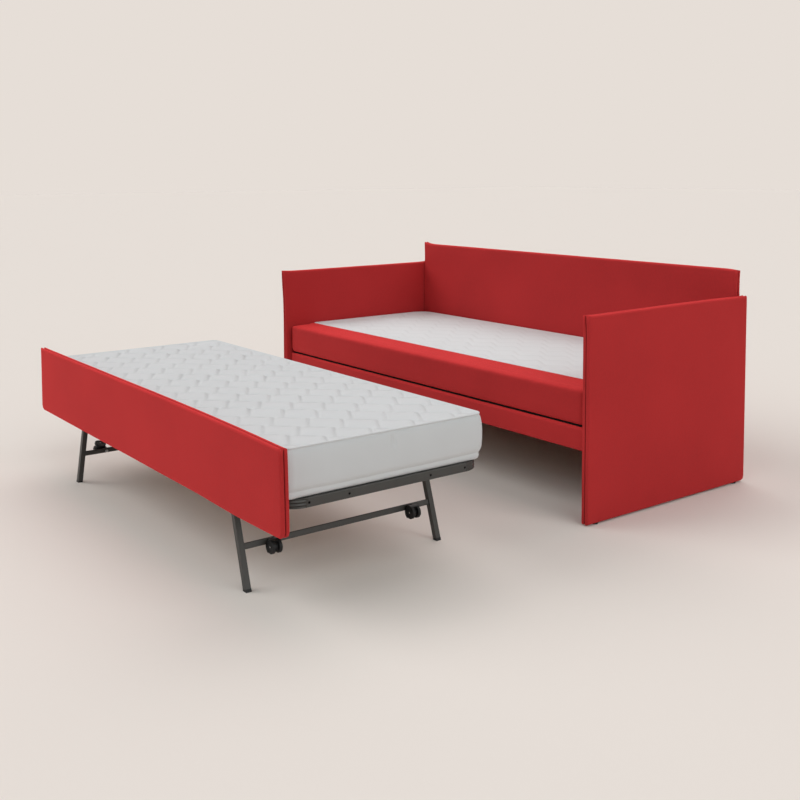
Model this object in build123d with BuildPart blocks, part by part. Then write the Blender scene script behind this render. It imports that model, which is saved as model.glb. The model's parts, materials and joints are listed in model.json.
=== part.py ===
from build123d import *
import os
from math import cos, sin, tan, radians

os.makedirs("parts", exist_ok=True)

# All lengths are in millimetres. +X is the right end, +Y the back, +Z up.

# The whole arrangement: how far the second bed stands out and aside
pull_out = 1342
bed_aside = 110

# Sofa body
sofa_length = 2100
sofa_depth = 962
side_height = 780
back_rise = 105
panel_thick = 36
board_thick = 20
board_rim = 9
nose_inset = 12
ear_draw = 4
edge_draw = 2
low_corner = 14
ear_corner = 4
soft_gap = 0.3
seat_gap = 0.2

# Shares of the half thickness and of the nose inset for the rounded padded edge
nose_depth_shares = (-1, -0.94, -0.75, -0.4, 0, 0.4, 0.75, 0.94, 1)
nose_inset_shares = (1, 0.66, 0.34, 0.083, 0, 0.083, 0.34, 0.66, 1)

# Floor glides
glide_height = 5
glide_radius = 12
glide_pin_radius = 3
glide_pin_length = 30
glide_setback = 60
back_glide_share = 0.5

# Front rail
rail_setback = 24
rail_thick = 45
rail_under = 6
rail_board_thick = 25
rail_board_rim = 9
rail_corner = 6

# Bolster in front of the mattress, on its board and blocks
bolster_height = 131
bolster_depth = 133
bolster_crown = 7
bolster_corner = 14
bolster_board_thick = 15
bolster_board_setback = 18
bolster_block_width = 60
bolster_block_height = 13
bolster_block_setback = 190
bolster_block_count = 5

# Mattresses
mattress_thick = 165
bed_mattress_thick = 160
mattress_crown = 4
mattress_corner = 60
mattress_side_gap = 4
mattress_front_gap = 3

# Shares of the height and of the edge inset for a stuffed block, bottom to top
block_height_shares = (0, 0.02, 0.07, 0.16, 0.5, 0.84, 0.93, 0.98, 1)
block_inset_shares = (1, 0.58, 0.25, 0.08, 0, 0.08, 0.25, 0.58, 1)
block_edge_inset = 13
# Shares of the crown and of the half depth for the domed top
crown_height_shares = (0.35, 0.7, 0.92, 1)
crown_inset_shares = (0.16, 0.38, 0.62, 0.84)
least_corner = 5

# Frame tubes under the main mattress
seat_tube = 30
tube_wall = 1.5
tube_round = 3
seat_frame_top = 339
seat_frame_end_gap = 10
seat_frame_front_gap = 5
seat_frame_back_gap = 8

# Slats and their end caps
slat_width = 68
slat_thick = 8
seat_slat_count = 13
bed_slat_count = 12
slat_end_gap = 4
cap_depth = 42
cap_wall = 2
cap_side_wall = 3
slat_fit = 0.1
cap_peg_radius = 3
cap_peg_length = 6
peg_fit = 0.1
slat_drop = 0.5

# Angle brackets that carry the seat frame
bracket_leg = 45
bracket_plate = 38
bracket_thick = 3
bracket_width = 60
bracket_screw_share = 0.58
bracket_screw_spread = 30
side_bracket_share = 0.55
long_bracket_share = 0.6

# Screws
screw_radius = 3
screw_head_radius = 5.5
screw_head_height = 3.5
screw_bite_share = 0.75
screw_fit = 0.1

# Bolts and barrel nuts that join the panels
joint_bolt_radius = 4
joint_bolt_past = 11
joint_head_radius = 7
joint_head_height = 5
joint_fit = 0.1
joint_head_fit = 0.2
barrel_radius = 6
barrel_depth = 53
barrel_length_gap = 1
back_bolt_shares = (0.19, 0.57, 0.93)
rail_bolt_spread = 36

# Pull-out bed
bed_length = 1890
bed_width = 780
bed_mattress_length = 1905
bed_mattress_width = 800
bed_tube = 30
bed_frame_top = 342
bed_bend = 80
end_hole_radius = 4
end_hole_spreads = (159, 304)
cross_bar_width = 25
cross_bar_height = 8

# Padded front panel of the pull-out bed and what holds it
front_panel_length = 2004
front_panel_aside = 10
front_panel_drop = 44
front_panel_height = 259
front_panel_thick = 34
front_board_thick = 18
front_panel_corner = 20
lug_width = 60
lug_depth = 18
lug_depth_below = 23
lug_shares = (0.21, 0.85)
lug_screw_share = 0.5
lug_screw_spread = 30

# Folding leg frames
leg_tilt = 17.5
leg_size = 20
leg_foot_spread = 710
leg_outset = 8
pivot_drop = 13
pivot_radius = 4
pivot_fit = 0.05
cheek_thick = 2.5
cheek_gap = 0.2
cheek_half_width = 18
cheek_radius = 16
stop_gap = 0.1
stop_thick = 3
stop_length = 10
pivot_head_radius = 7.5
pivot_head_height = 5
pivot_nut_height = 6.5
cross_height = 128
cross_depth = 10
cross_tall = 20
foot_head = 4
foot_plug = 18
plug_fit = 0.1

# Casters
caster_offset = 280
caster_reach = 26
caster_trail = 19
far_front_turn = 100
wheel_radius = 22
wheel_width = 11
wheel_round = 2
wheel_dish_radius = 16
wheel_dish_depth = 1.5
wheel_hub_radius = 6
hood_inner = 22.6
hood_outer = 24.5
hood_web = 12
hood_half_width = 18.5
hood_hub_radius = 12
collar_radius = 9
collar_gap = 0.5
collar_length = 16
wheel_gap = 0.5
axle_radius = 3
axle_fit = 0.05
wheel_bore_fit = 0.02
axle_end_gap = 0.5
caster_bolt_radius = 4
caster_bolt_fit = 0.05
caster_bolt_depth = 14
caster_head_radius = 6.5
caster_head_height = 4

# One overrun for all cuts
overrun = 2

# Places worked out from the sizes above
panel_right = bed_aside + front_panel_aside + front_panel_length / 2
sofa_x = -(panel_right - sofa_length / 2) / 2
overall_depth = pull_out + sofa_depth
sofa_front = pull_out - overall_depth / 2
sofa_back = sofa_front + sofa_depth
half_in = sofa_length / 2 - panel_thick
back_face = sofa_back - panel_thick
side_mid_y = (sofa_front + sofa_back) / 2
back_mid_y = sofa_back - panel_thick / 2
padding = (panel_thick - board_thick) / 2
back_height = side_height + back_rise
seat_low = seat_frame_top - seat_tube
rail_high = seat_frame_top + bolster_block_height
rail_low = seat_low - bracket_plate - rail_under
rail_mid_z = (rail_low + rail_high) / 2
bracket_screw_drop = bracket_plate * bracket_screw_share
screw_length = bracket_thick + padding + board_thick * screw_bite_share
bolt_lead = padding + board_thick - joint_head_height
joint_bolt_length = bolt_lead + barrel_depth + barrel_radius + joint_bolt_past
back_glide_spread = half_in * back_glide_share
side_bracket_spread = sofa_depth * side_bracket_share
long_bracket_spread = half_in * long_bracket_share
rail_front = sofa_front + rail_setback
rail_mid_y = rail_front + rail_thick / 2
rail_back = rail_front + rail_thick
bolster_low = rail_high + bolster_board_thick + soft_gap
bolster_back = rail_front + bolster_depth
seat_half = half_in - seat_frame_end_gap
seat_front = rail_back + seat_frame_front_gap
seat_back = back_face - seat_frame_back_gap
mattress_front = bolster_back + mattress_front_gap
mattress_back = back_face - mattress_side_gap
mattress_half = half_in - mattress_side_gap

seat_slat_pitch = 2 * (seat_half - seat_tube) / seat_slat_count
bolster_block_spread = seat_half - bolster_block_setback

bed_half = bed_length / 2
bed_half_width = bed_width / 2
bed_slat_pitch = 2 * (bed_half - bed_bend) / bed_slat_count
bed_x = sofa_x + bed_aside
panel_x = bed_x + front_panel_aside
bed_y = sofa_front - pull_out + front_panel_thick + lug_depth + bed_half_width
bed_low = bed_frame_top - bed_tube
panel_front = sofa_front - pull_out
panel_back = panel_front + front_panel_thick
panel_mid_y = panel_front + front_panel_thick / 2
front_padding = (front_panel_thick - front_board_thick) / 2
front_panel_low = bed_low - front_panel_drop
front_panel_high = front_panel_low + front_panel_height
bed_front = bed_y - bed_half_width
lug_screw_drop = lug_depth_below * lug_screw_share
lug_screw_length = lug_depth + front_padding + front_board_thick * screw_bite_share
leg_offset = bed_half_width - bed_tube / 2 + leg_outset
pivot_z = bed_low - pivot_drop
pivot_spread = leg_foot_spread - pivot_z * tan(radians(leg_tilt))
foot_reach = pivot_z / cos(radians(leg_tilt))
foot_skew = leg_size / 2 * tan(radians(leg_tilt))
leg_length = foot_reach - foot_skew - foot_head
cross_reach = (pivot_z - cross_height) / cos(radians(leg_tilt))
cross_half = leg_offset - leg_size / 2
hub_x = cross_depth / 2 + caster_reach
wheel_inner = hood_web / 2 + wheel_gap


def block(x_low, x_high, y_low, y_high, z_low, z_high, mode=Mode.ADD):
    """A plain rectangular block between six named faces."""
    middle = ((x_low + x_high) / 2, (y_low + y_high) / 2, (z_low + z_high) / 2)
    with Locations(middle):
        Box(x_high - x_low, y_high - y_low, z_high - z_low, mode=mode)


def panel_outline(left, right, low, high, low_round, high_round, ear, inset):
    """Outline of a padded panel, drawn in between its corners."""
    a = left + inset
    b = right - inset
    c = low + inset
    d = high - inset
    mid_u = (a + b) / 2
    mid_v = (c + d) / 2
    r = max(low_round - inset, least_corner)
    q = max(high_round - inset, ear_corner)
    turn_share = 1 - cos(radians(45))
    with BuildLine() as outline:
        Line((a + r, c), (b - r, c))
        ThreePointArc((b - r, c), (b - r * turn_share, c + r * turn_share), (b, c + r))
        ThreePointArc((b, c + r), (b - edge_draw, mid_v), (b, d - q))
        ThreePointArc((b, d - q), (b - q * turn_share, d - q * turn_share), (b - q, d))
        ThreePointArc((b - q, d), (mid_u, d - ear), (a + q, d))
        ThreePointArc((a + q, d), (a + q * turn_share, d - q * turn_share), (a, d - q))
        ThreePointArc((a, d - q), (a + edge_draw, mid_v), (a, c + r))
        ThreePointArc((a, c + r), (a + r * turn_share, c + r * turn_share), (a + r, c))
    make_face(outline.edges())


def padded_panel(middle, thick, left, right, low, high, low_round, high_round, ear):
    """A padded panel: flat faces that roll over to a seam at mid thickness."""
    sections = []
    for depth_share, inset_share in zip(nose_depth_shares, nose_inset_shares):
        with BuildSketch(middle.offset(thick / 2 * depth_share)) as profile:
            panel_outline(left, right, low, high, low_round, high_round, ear, nose_inset * inset_share)
        sections.append(profile.sketch)
    loft(sections)


def stuffed_block(x_mid, y_mid, low, length, depth, height, corner, crown):
    """A stuffed block: rounded corners, rolled edges, sides drawn in and a domed top."""
    wall = height - crown
    levels = [(low + wall * h, block_edge_inset * s) for h, s in zip(block_height_shares, block_inset_shares)]
    dome = zip(crown_height_shares, crown_inset_shares)
    slope = depth / 2 - block_edge_inset
    levels += [(low + wall + crown * h, block_edge_inset + slope * s) for h, s in dome]
    sections = []
    for level, inset in levels:
        with BuildSketch(Plane.XY.offset(level)) as profile:
            with Locations((x_mid, y_mid)):
                RectangleRounded(length - 2 * inset, depth - 2 * inset, max(corner - inset, least_corner))
        sections.append(profile.sketch)
    loft(sections, ruled=True)


def tube_section(size_a, size_b, wall):
    """Square or oblong tube section with rounded corners."""
    RectangleRounded(size_a, size_b, tube_round)
    RectangleRounded(size_a - 2 * wall, size_b - 2 * wall, tube_round - wall, mode=Mode.SUBTRACT)


def tube_along_x(x_low, x_high, y, z, size):
    with BuildSketch(Plane.YZ.offset(x_low)) as profile:
        with Locations((y, z)):
            tube_section(size, size, tube_wall)
    extrude(profile.sketch, amount=x_high - x_low)


def tube_along_y(y_low, y_high, x, z, size):
    with BuildSketch(Plane.XZ.offset(-y_low)) as profile:
        with Locations((x, z)):
            tube_section(size, size, tube_wall)
    extrude(profile.sketch, amount=-(y_high - y_low))


def rod(place, radius, length, mode=Mode.ADD):
    """A round bar that starts at the place and runs along its Z."""
    with Locations(place):
        Cylinder(radius, length, align=(Align.CENTER, Align.CENTER, Align.MIN), mode=mode)


def spaced(count, pitch):
    """Places along a row, set about its middle."""
    return [pitch * (i - (count - 1) / 2) for i in range(count)]


def facing(x, y, z, away_x, away_y):
    """A plane on a panel's face: its X leads away from the panel and its Y is up."""
    return Plane(origin=(x, y, z), x_dir=(away_x, away_y, 0), z_dir=(away_y, -away_x, 0))


def along_x(plane, u, v, w):
    """A place in a plane whose Z runs along the plane's X."""
    return plane.location * Location((u, v, w), (0, 90, 0))


def into_x(plane, u, v, w):
    """A place in a plane whose Z runs against the plane's X."""
    return plane.location * Location((u, v, w), (0, -90, 0))


def screw(plane, u, v, w, length):
    """A pan head screw that is driven against the plane's X."""
    rod(into_x(plane, u, v, w), screw_radius, length)
    rod(along_x(plane, u, v, w), screw_head_radius, screw_head_height)


def screw_hole(plane, u, v, w, length):
    rod(into_x(plane, u + overrun, v, w), screw_radius + screw_fit, length + overrun + screw_fit, Mode.SUBTRACT)


# Glides, bolts, brackets and screws: their places
glide_places = [(sofa_x + s * (half_in + panel_thick / 2), y) for s in (-1, 1)
                for y in (sofa_front + glide_setback, sofa_back - glide_setback)]
back_glide_places = [(sofa_x + s * back_glide_spread, back_mid_y) for s in (-1, 1)]
back_bolts = [(back_mid_y, side_height * share) for share in back_bolt_shares]
rail_bolts = [(rail_mid_y, rail_mid_z + t * rail_bolt_spread / 2) for t in (-1, 1)]
side_brackets = {s: [facing(sofa_x + s * half_in, side_mid_y + t * side_bracket_spread / 2, seat_low, -s, 0)
                     for t in (-1, 1)] for s in (-1, 1)}
back_brackets = [facing(sofa_x + t * long_bracket_spread, back_face, seat_low, 0, -1) for t in (-1, 0, 1)]
rail_brackets = [facing(sofa_x + t * long_bracket_spread, rail_back, seat_low, 0, 1) for t in (-1, 0, 1)]
all_brackets = side_brackets[-1] + side_brackets[1] + back_brackets + rail_brackets
lug_spreads = [bed_half * share for share in lug_shares]
lug_planes = [facing(bed_x + s * spread, panel_back, bed_low, 0, 1) for s in (-1, 1) for spread in lug_spreads]


def bracket_holes(planes):
    """Screw holes that run on from the brackets into whatever carries them."""
    for plane in planes:
        for t in (-1, 1):
            screw_hole(plane, bracket_thick, -bracket_screw_drop, t * bracket_screw_spread / 2, screw_length)


def lug_holes():
    for plane in lug_planes:
        for t in (-1, 1):
            screw_hole(plane, lug_depth, -lug_screw_drop, t * lug_screw_spread / 2, lug_screw_length)


def joint_line(side, y, z):
    """The place where a joint bolt's shank starts, under its head in a side board, running inwards."""
    x = sofa_x + side * (half_in + bolt_lead)
    return Location((x, y, z), (0, -side * 90, 0))


def joint_holes(sides, places):
    for side in sides:
        for y, z in places:
            line = joint_line(side, y, z)
            back = line * Location((0, 0, -joint_head_height - overrun))
            rod(line, joint_bolt_radius + joint_fit, joint_bolt_length + overrun, Mode.SUBTRACT)
            rod(back, joint_head_radius + joint_head_fit, joint_head_height + overrun, Mode.SUBTRACT)


def shank_holes(sides, places):
    for side in sides:
        for y, z in places:
            rod(joint_line(side, y, z), joint_bolt_radius + joint_fit, joint_bolt_length + overrun, Mode.SUBTRACT)


def barrel_place(side, y, z, length):
    x = sofa_x + side * (half_in - barrel_depth)
    return Location((x, y + length / 2, z), (90, 0, 0))


def barrel_holes(places, thick):
    for side in (-1, 1):
        for y, z in places:
            rod(barrel_place(side, y, z, thick + overrun), barrel_radius + joint_fit, thick + overrun, Mode.SUBTRACT)


def glide_holes(places):
    for x, y in places:
        rod(Location((x, y, 0)), glide_pin_radius + peg_fit, glide_height + glide_pin_length + overrun, Mode.SUBTRACT)


# Side panels
def side_board(side):
    x_low = sofa_x + side * (half_in + panel_thick / 2) - board_thick / 2
    block(x_low, x_low + board_thick, sofa_front + board_rim, sofa_back - board_rim,
          glide_height + board_rim, side_height - board_rim)


def side_cover(side):
    middle = Plane.YZ.offset(sofa_x + side * (half_in + panel_thick / 2))
    padded_panel(middle, panel_thick, sofa_front, sofa_back, glide_height, side_height,
                 low_corner, ear_corner, ear_draw)
    x_mid = sofa_x + side * (half_in + panel_thick / 2)
    reach = board_thick / 2 + seat_gap
    block(x_mid - reach, x_mid + reach, sofa_front + board_rim - seat_gap, sofa_back - board_rim + seat_gap,
          glide_height + board_rim - seat_gap, side_height - board_rim + seat_gap, Mode.SUBTRACT)


with BuildPart() as left_side_board:
    side_board(-1)
    joint_holes((-1,), back_bolts + rail_bolts)
    bracket_holes(side_brackets[-1])
    glide_holes(glide_places)

with BuildPart() as right_side_board:
    side_board(1)
    joint_holes((1,), back_bolts + rail_bolts)
    bracket_holes(side_brackets[1])
    glide_holes(glide_places)

with BuildPart() as left_side_cover:
    side_cover(-1)
    shank_holes((-1,), back_bolts + rail_bolts)
    bracket_holes(side_brackets[-1])
    glide_holes(glide_places)

with BuildPart() as right_side_cover:
    side_cover(1)
    shank_holes((1,), back_bolts + rail_bolts)
    bracket_holes(side_brackets[1])
    glide_holes(glide_places)

# Back panel, set in between the side panels
back_low = glide_height
with BuildPart() as back_board:
    block(sofa_x - half_in + board_rim, sofa_x + half_in - board_rim,
          back_mid_y - board_thick / 2, back_mid_y + board_thick / 2, back_low + board_rim, back_height - board_rim)
    shank_holes((-1, 1), back_bolts)
    barrel_holes(back_bolts, board_thick)
    bracket_holes(back_brackets)
    glide_holes(back_glide_places)

with BuildPart() as back_cover:
    padded_panel(Plane.XZ.offset(-back_mid_y), panel_thick, sofa_x - half_in, sofa_x + half_in,
                 back_low, back_height, low_corner, ear_corner, ear_draw)
    block(sofa_x - half_in + board_rim - seat_gap, sofa_x + half_in - board_rim + seat_gap,
          back_mid_y - board_thick / 2 - seat_gap, back_mid_y + board_thick / 2 + seat_gap,
          back_low + board_rim - seat_gap, back_height - board_rim + seat_gap, Mode.SUBTRACT)
    shank_holes((-1, 1), back_bolts)
    bracket_holes(back_brackets)
    glide_holes(back_glide_places)

# Front rail
with BuildPart() as front_rail_board:
    block(sofa_x - half_in + board_rim, sofa_x + half_in - board_rim,
          rail_mid_y - rail_board_thick / 2, rail_mid_y + rail_board_thick / 2,
          rail_low + rail_board_rim, rail_high - rail_board_rim)
    shank_holes((-1, 1), rail_bolts)
    barrel_holes(rail_bolts, rail_board_thick)
    bracket_holes(rail_brackets)

with BuildPart() as front_rail_cover:
    padded_panel(Plane.XZ.offset(-rail_mid_y), rail_thick, sofa_x - half_in, sofa_x + half_in,
                 rail_low, rail_high, rail_corner, rail_corner, edge_draw)
    block(sofa_x - half_in + board_rim - seat_gap, sofa_x + half_in - board_rim + seat_gap,
          rail_mid_y - rail_board_thick / 2 - seat_gap, rail_mid_y + rail_board_thick / 2 + seat_gap,
          rail_low + rail_board_rim - seat_gap, rail_high - rail_board_rim + seat_gap, Mode.SUBTRACT)
    shank_holes((-1, 1), rail_bolts)
    bracket_holes(rail_brackets)

# Joint bolts and barrel nuts
with BuildPart() as joint_bolts:
    for side in (-1, 1):
        for y, z in back_bolts + rail_bolts:
            line = joint_line(side, y, z)
            rod(line, joint_bolt_radius, joint_bolt_length)
            rod(line * Location((0, 0, -joint_head_height)), joint_head_radius, joint_head_height)

with BuildPart() as barrel_nuts:
    for places, thick in ((back_bolts, board_thick), (rail_bolts, rail_board_thick)):
        for side in (-1, 1):
            for y, z in places:
                nut_length = thick - 2 * barrel_length_gap
                rod(barrel_place(side, y, z, nut_length), barrel_radius, nut_length)
    shank_holes((-1, 1), back_bolts + rail_bolts)

# Floor glides
with BuildPart() as floor_glides:
    for x, y in glide_places + back_glide_places:
        rod(Location((x, y, 0)), glide_radius, glide_height)
        rod(Location((x, y, 0)), glide_pin_radius, glide_height + glide_pin_length)

# Bolster, its board and its blocks
with BuildPart() as bolster:
    stuffed_block(sofa_x, rail_front + bolster_depth / 2, bolster_low, 2 * mattress_half, bolster_depth,
                  bolster_height, bolster_corner, bolster_crown)

with BuildPart() as bolster_board:
    block(sofa_x - seat_half, sofa_x + seat_half, rail_front + bolster_board_setback,
          bolster_back - block_edge_inset, rail_high, rail_high + bolster_board_thick)

block_pitch = 2 * bolster_block_spread / (bolster_block_count - 1)
with BuildPart() as bolster_blocks:
    for x in spaced(bolster_block_count, block_pitch):
        block(sofa_x + x - bolster_block_width / 2, sofa_x + x + bolster_block_width / 2,
              seat_front, seat_front + seat_tube, seat_frame_top, rail_high)

# Main mattress
with BuildPart() as main_mattress:
    stuffed_block(sofa_x, (mattress_front + mattress_back) / 2, seat_frame_top + soft_gap, 2 * mattress_half,
                  mattress_back - mattress_front, mattress_thick, mattress_corner, mattress_crown)


def cap_places(x_mid, y_low, y_high, count, pitch):
    """Middle and direction of each slat cap: it stands on a rail's inner face and opens inwards."""
    return [(x_mid + x, y, s) for x in spaced(count, pitch) for y, s in ((y_low, 1), (y_high, -1))]


def peg_place(x, y, s, top):
    z = top - slat_drop - cap_wall - slat_fit - slat_thick / 2
    return Location((x, y + s * cap_wall, z), (s * 90, 0, 0))


def peg_holes(places, top):
    for x, y, s in places:
        rod(peg_place(x, y, s, top), cap_peg_radius + peg_fit, cap_wall + cap_peg_length + peg_fit, Mode.SUBTRACT)


def slat_caps(places, top):
    """Moulded caps that take a slat's end in a slot and peg into the rail."""
    high = top - slat_drop
    low = high - slat_thick - 2 * slat_fit - 2 * cap_wall
    half = slat_width / 2 + slat_fit + cap_side_wall
    for x, y, s in places:
        far = y + s * cap_depth
        block(x - half, x + half, min(y, far), max(y, far), low, high)
        mouth = y + s * (cap_depth + overrun)
        floor = y + s * (slat_end_gap - slat_fit)
        block(x - half + cap_side_wall, x + half - cap_side_wall, min(mouth, floor), max(mouth, floor),
              low + cap_wall, high - cap_wall, Mode.SUBTRACT)
        rod(peg_place(x, y, s, top), cap_peg_radius, cap_wall + cap_peg_length)


def slats(x_mid, y_low, y_high, top, count, pitch):
    high = top - slat_drop - cap_wall - slat_fit
    for x in spaced(count, pitch):
        block(x_mid + x - slat_width / 2, x_mid + x + slat_width / 2,
              y_low + slat_end_gap, y_high - slat_end_gap, high - slat_thick, high)


# Seat frame: front and rear tubes, end tubes, slats and caps
seat_mid_z = seat_frame_top - seat_tube / 2
seat_caps = cap_places(sofa_x, seat_front + seat_tube, seat_back - seat_tube, seat_slat_count, seat_slat_pitch)

with BuildPart() as seat_front_tube:
    tube_along_x(sofa_x - seat_half, sofa_x + seat_half, seat_front + seat_tube / 2, seat_mid_z, seat_tube)
    peg_holes([place for place in seat_caps if place[2] > 0], seat_frame_top)

with BuildPart() as seat_rear_tube:
    tube_along_x(sofa_x - seat_half, sofa_x + seat_half, seat_back - seat_tube / 2, seat_mid_z, seat_tube)
    peg_holes([place for place in seat_caps if place[2] < 0], seat_frame_top)

with BuildPart() as seat_end_tubes:
    for side in (-1, 1):
        tube_along_y(seat_front + seat_tube, seat_back - seat_tube, sofa_x + side * (seat_half - seat_tube / 2),
                     seat_mid_z, seat_tube)

with BuildPart() as seat_slats:
    slats(sofa_x, seat_front + seat_tube, seat_back - seat_tube, seat_frame_top, seat_slat_count, seat_slat_pitch)

with BuildPart() as seat_slat_caps:
    slat_caps(seat_caps, seat_frame_top)

with BuildPart() as seat_brackets:
    for plane in all_brackets:
        with BuildSketch(plane):
            with Locations((bracket_leg / 2, -bracket_thick / 2)):
                Rectangle(bracket_leg, bracket_thick)
            with Locations((bracket_thick / 2, -bracket_plate / 2)):
                Rectangle(bracket_thick, bracket_plate)
        extrude(amount=bracket_width / 2, both=True)
    bracket_holes(all_brackets)

with BuildPart() as seat_screws:
    for plane in all_brackets:
        for t in (-1, 1):
            screw(plane, bracket_thick, -bracket_screw_drop, t * bracket_screw_spread / 2, screw_length)

# Pull-out bed: perimeter tube in straight runs and bent corners
bed_mid_z = bed_frame_top - bed_tube / 2
bed_inner = bed_half_width - bed_tube
bed_caps = cap_places(bed_x, bed_y - bed_inner, bed_y + bed_inner, bed_slat_count, bed_slat_pitch)


def bed_end_rail(side):
    """An end rail with bolt holes through its outer wall."""
    x = bed_x + side * (bed_half - bed_tube / 2)
    tube_along_y(bed_y - bed_half_width + bed_bend, bed_y + bed_half_width - bed_bend, x, bed_mid_z, bed_tube)
    for spread in end_hole_spreads:
        for t in (-1, 1):
            place = Location((x, bed_y + t * spread, bed_mid_z), (0, side * 90, 0))
            rod(place, end_hole_radius, bed_tube / 2 + overrun, Mode.SUBTRACT)


def bed_side_rail(t):
    y = bed_y + t * (bed_half_width - bed_tube / 2)
    tube_along_x(bed_x - bed_half + bed_bend, bed_x + bed_half - bed_bend, y, bed_mid_z, bed_tube)
    peg_holes([place for place in bed_caps if place[2] * t < 0], bed_frame_top)


with BuildPart() as bed_rail_near:
    bed_end_rail(1)

with BuildPart() as bed_rail_far:
    bed_end_rail(-1)

with BuildPart() as bed_rail_front:
    bed_side_rail(-1)

with BuildPart() as bed_rail_back:
    bed_side_rail(1)

with BuildPart() as bed_corners:
    for s in (-1, 1):
        for t in (-1, 1):
            centre = (bed_x + s * (bed_half - bed_bend), bed_y + t * (bed_half_width - bed_bend), bed_mid_z)
            with BuildSketch(Plane(origin=centre, x_dir=(s, 0, 0), z_dir=(0, -s, 0))):
                with Locations((bed_bend - bed_tube / 2, 0)):
                    tube_section(bed_tube, bed_tube, tube_wall)
            revolve(axis=Axis(centre, (0, 0, s * t)), revolution_arc=90)

with BuildPart() as bed_cross_bars:
    for place in (-pivot_spread, 0, pivot_spread):
        block(bed_x + place - cross_bar_width / 2, bed_x + place + cross_bar_width / 2,
              bed_y - bed_inner, bed_y + bed_inner, bed_low, bed_low + cross_bar_height)

with BuildPart() as bed_slats:
    slats(bed_x, bed_y - bed_inner, bed_y + bed_inner, bed_frame_top, bed_slat_count, bed_slat_pitch)

with BuildPart() as bed_slat_caps:
    slat_caps(bed_caps, bed_frame_top)

with BuildPart() as bed_mattress:
    stuffed_block(bed_x, bed_y, bed_frame_top + soft_gap, bed_mattress_length, bed_mattress_width,
                  bed_mattress_thick, mattress_corner, mattress_crown)

# Padded front panel of the pull-out bed, its lugs and screws
panel_half = front_panel_length / 2
with BuildPart() as bed_panel_board:
    block(panel_x - panel_half + board_rim, panel_x + panel_half - board_rim,
          panel_mid_y - front_board_thick / 2, panel_mid_y + front_board_thick / 2,
          front_panel_low + board_rim, front_panel_high - board_rim)
    lug_holes()

with BuildPart() as bed_panel_cover:
    padded_panel(Plane.XZ.offset(-panel_mid_y), front_panel_thick, panel_x - panel_half, panel_x + panel_half,
                 front_panel_low, front_panel_high, front_panel_corner, front_panel_corner, edge_draw)
    block(panel_x - panel_half + board_rim - seat_gap, panel_x + panel_half - board_rim + seat_gap,
          panel_mid_y - front_board_thick / 2 - seat_gap, panel_mid_y + front_board_thick / 2 + seat_gap,
          front_panel_low + board_rim - seat_gap, front_panel_high - board_rim + seat_gap, Mode.SUBTRACT)
    lug_holes()

with BuildPart() as panel_lugs:
    for s in (-1, 1):
        for spread in lug_spreads:
            block(bed_x + s * spread - lug_width / 2, bed_x + s * spread + lug_width / 2,
                  panel_back, bed_front, bed_low - lug_depth_below, bed_frame_top)
    lug_holes()

with BuildPart() as panel_screws:
    for plane in lug_planes:
        for t in (-1, 1):
            screw(plane, lug_depth, -lug_screw_drop, t * lug_screw_spread / 2, lug_screw_length)


def leg_plane(side, y):
    """A plane at a leg frame's pivot: its X is the leg's outer side and its Y runs up along the leg."""
    return Plane(origin=(bed_x + side * pivot_spread, y, pivot_z),
                 x_dir=(side * cos(radians(leg_tilt)), 0, sin(radians(leg_tilt))), z_dir=(0, -side, 0))


def pivot_place(side, t, along, turned=1):
    """On a pivot's line, a distance outwards from the leg's middle, facing outwards or inwards."""
    y = bed_y + t * (leg_offset + along)
    return Location((bed_x + side * pivot_spread, y, pivot_z), (-t * turned * 90, 0, 0))


# Brackets under the side rails that the legs turn in
half_fork = leg_size / 2 + cheek_gap
fork_out = half_fork + cheek_thick
with BuildPart() as leg_brackets:
    for side in (-1, 1):
        for t in (-1, 1):
            x = bed_x + side * pivot_spread
            y = bed_y + t * leg_offset
            block(x - cheek_half_width, x + cheek_half_width, y - fork_out, y + fork_out, bed_low - cheek_thick, bed_low)
            for face in (y - fork_out, y + half_fork):
                with BuildSketch(Plane.XZ.offset(-face)):
                    with Locations((x, bed_low - cheek_thick - pivot_drop / 4)):
                        Rectangle(2 * cheek_half_width, pivot_drop / 2)
                    with Locations((x, pivot_z)):
                        Circle(cheek_radius)
                    make_hull()
                    with Locations((x, pivot_z)):
                        Circle(pivot_radius + pivot_fit, mode=Mode.SUBTRACT)
                    with Locations((x, bed_low + cheek_radius)):
                        Rectangle(4 * cheek_half_width, 2 * cheek_radius, mode=Mode.SUBTRACT)
                extrude(amount=-cheek_thick)
            with BuildSketch(leg_plane(side, y)):
                with Locations((leg_size / 2 + stop_gap + stop_thick / 2, -stop_length / 2)):
                    Rectangle(stop_thick, stop_length)
            extrude(amount=half_fork, both=True)

with BuildPart() as pivot_bolts:
    for side in (-1, 1):
        for t in (-1, 1):
            length = fork_out + fork_out + pivot_nut_height
            rod(pivot_place(side, t, fork_out, -1), pivot_radius, length)
            with BuildSketch(Plane(pivot_place(side, t, fork_out))):
                RegularPolygon(pivot_head_radius, 6)
            extrude(amount=pivot_head_height)

with BuildPart() as pivot_nuts:
    for side in (-1, 1):
        for t in (-1, 1):
            with BuildSketch(Plane(pivot_place(side, t, -fork_out, -1))):
                RegularPolygon(pivot_head_radius, 6)
                Circle(pivot_radius + pivot_fit, mode=Mode.SUBTRACT)
            extrude(amount=pivot_nut_height)


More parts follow.
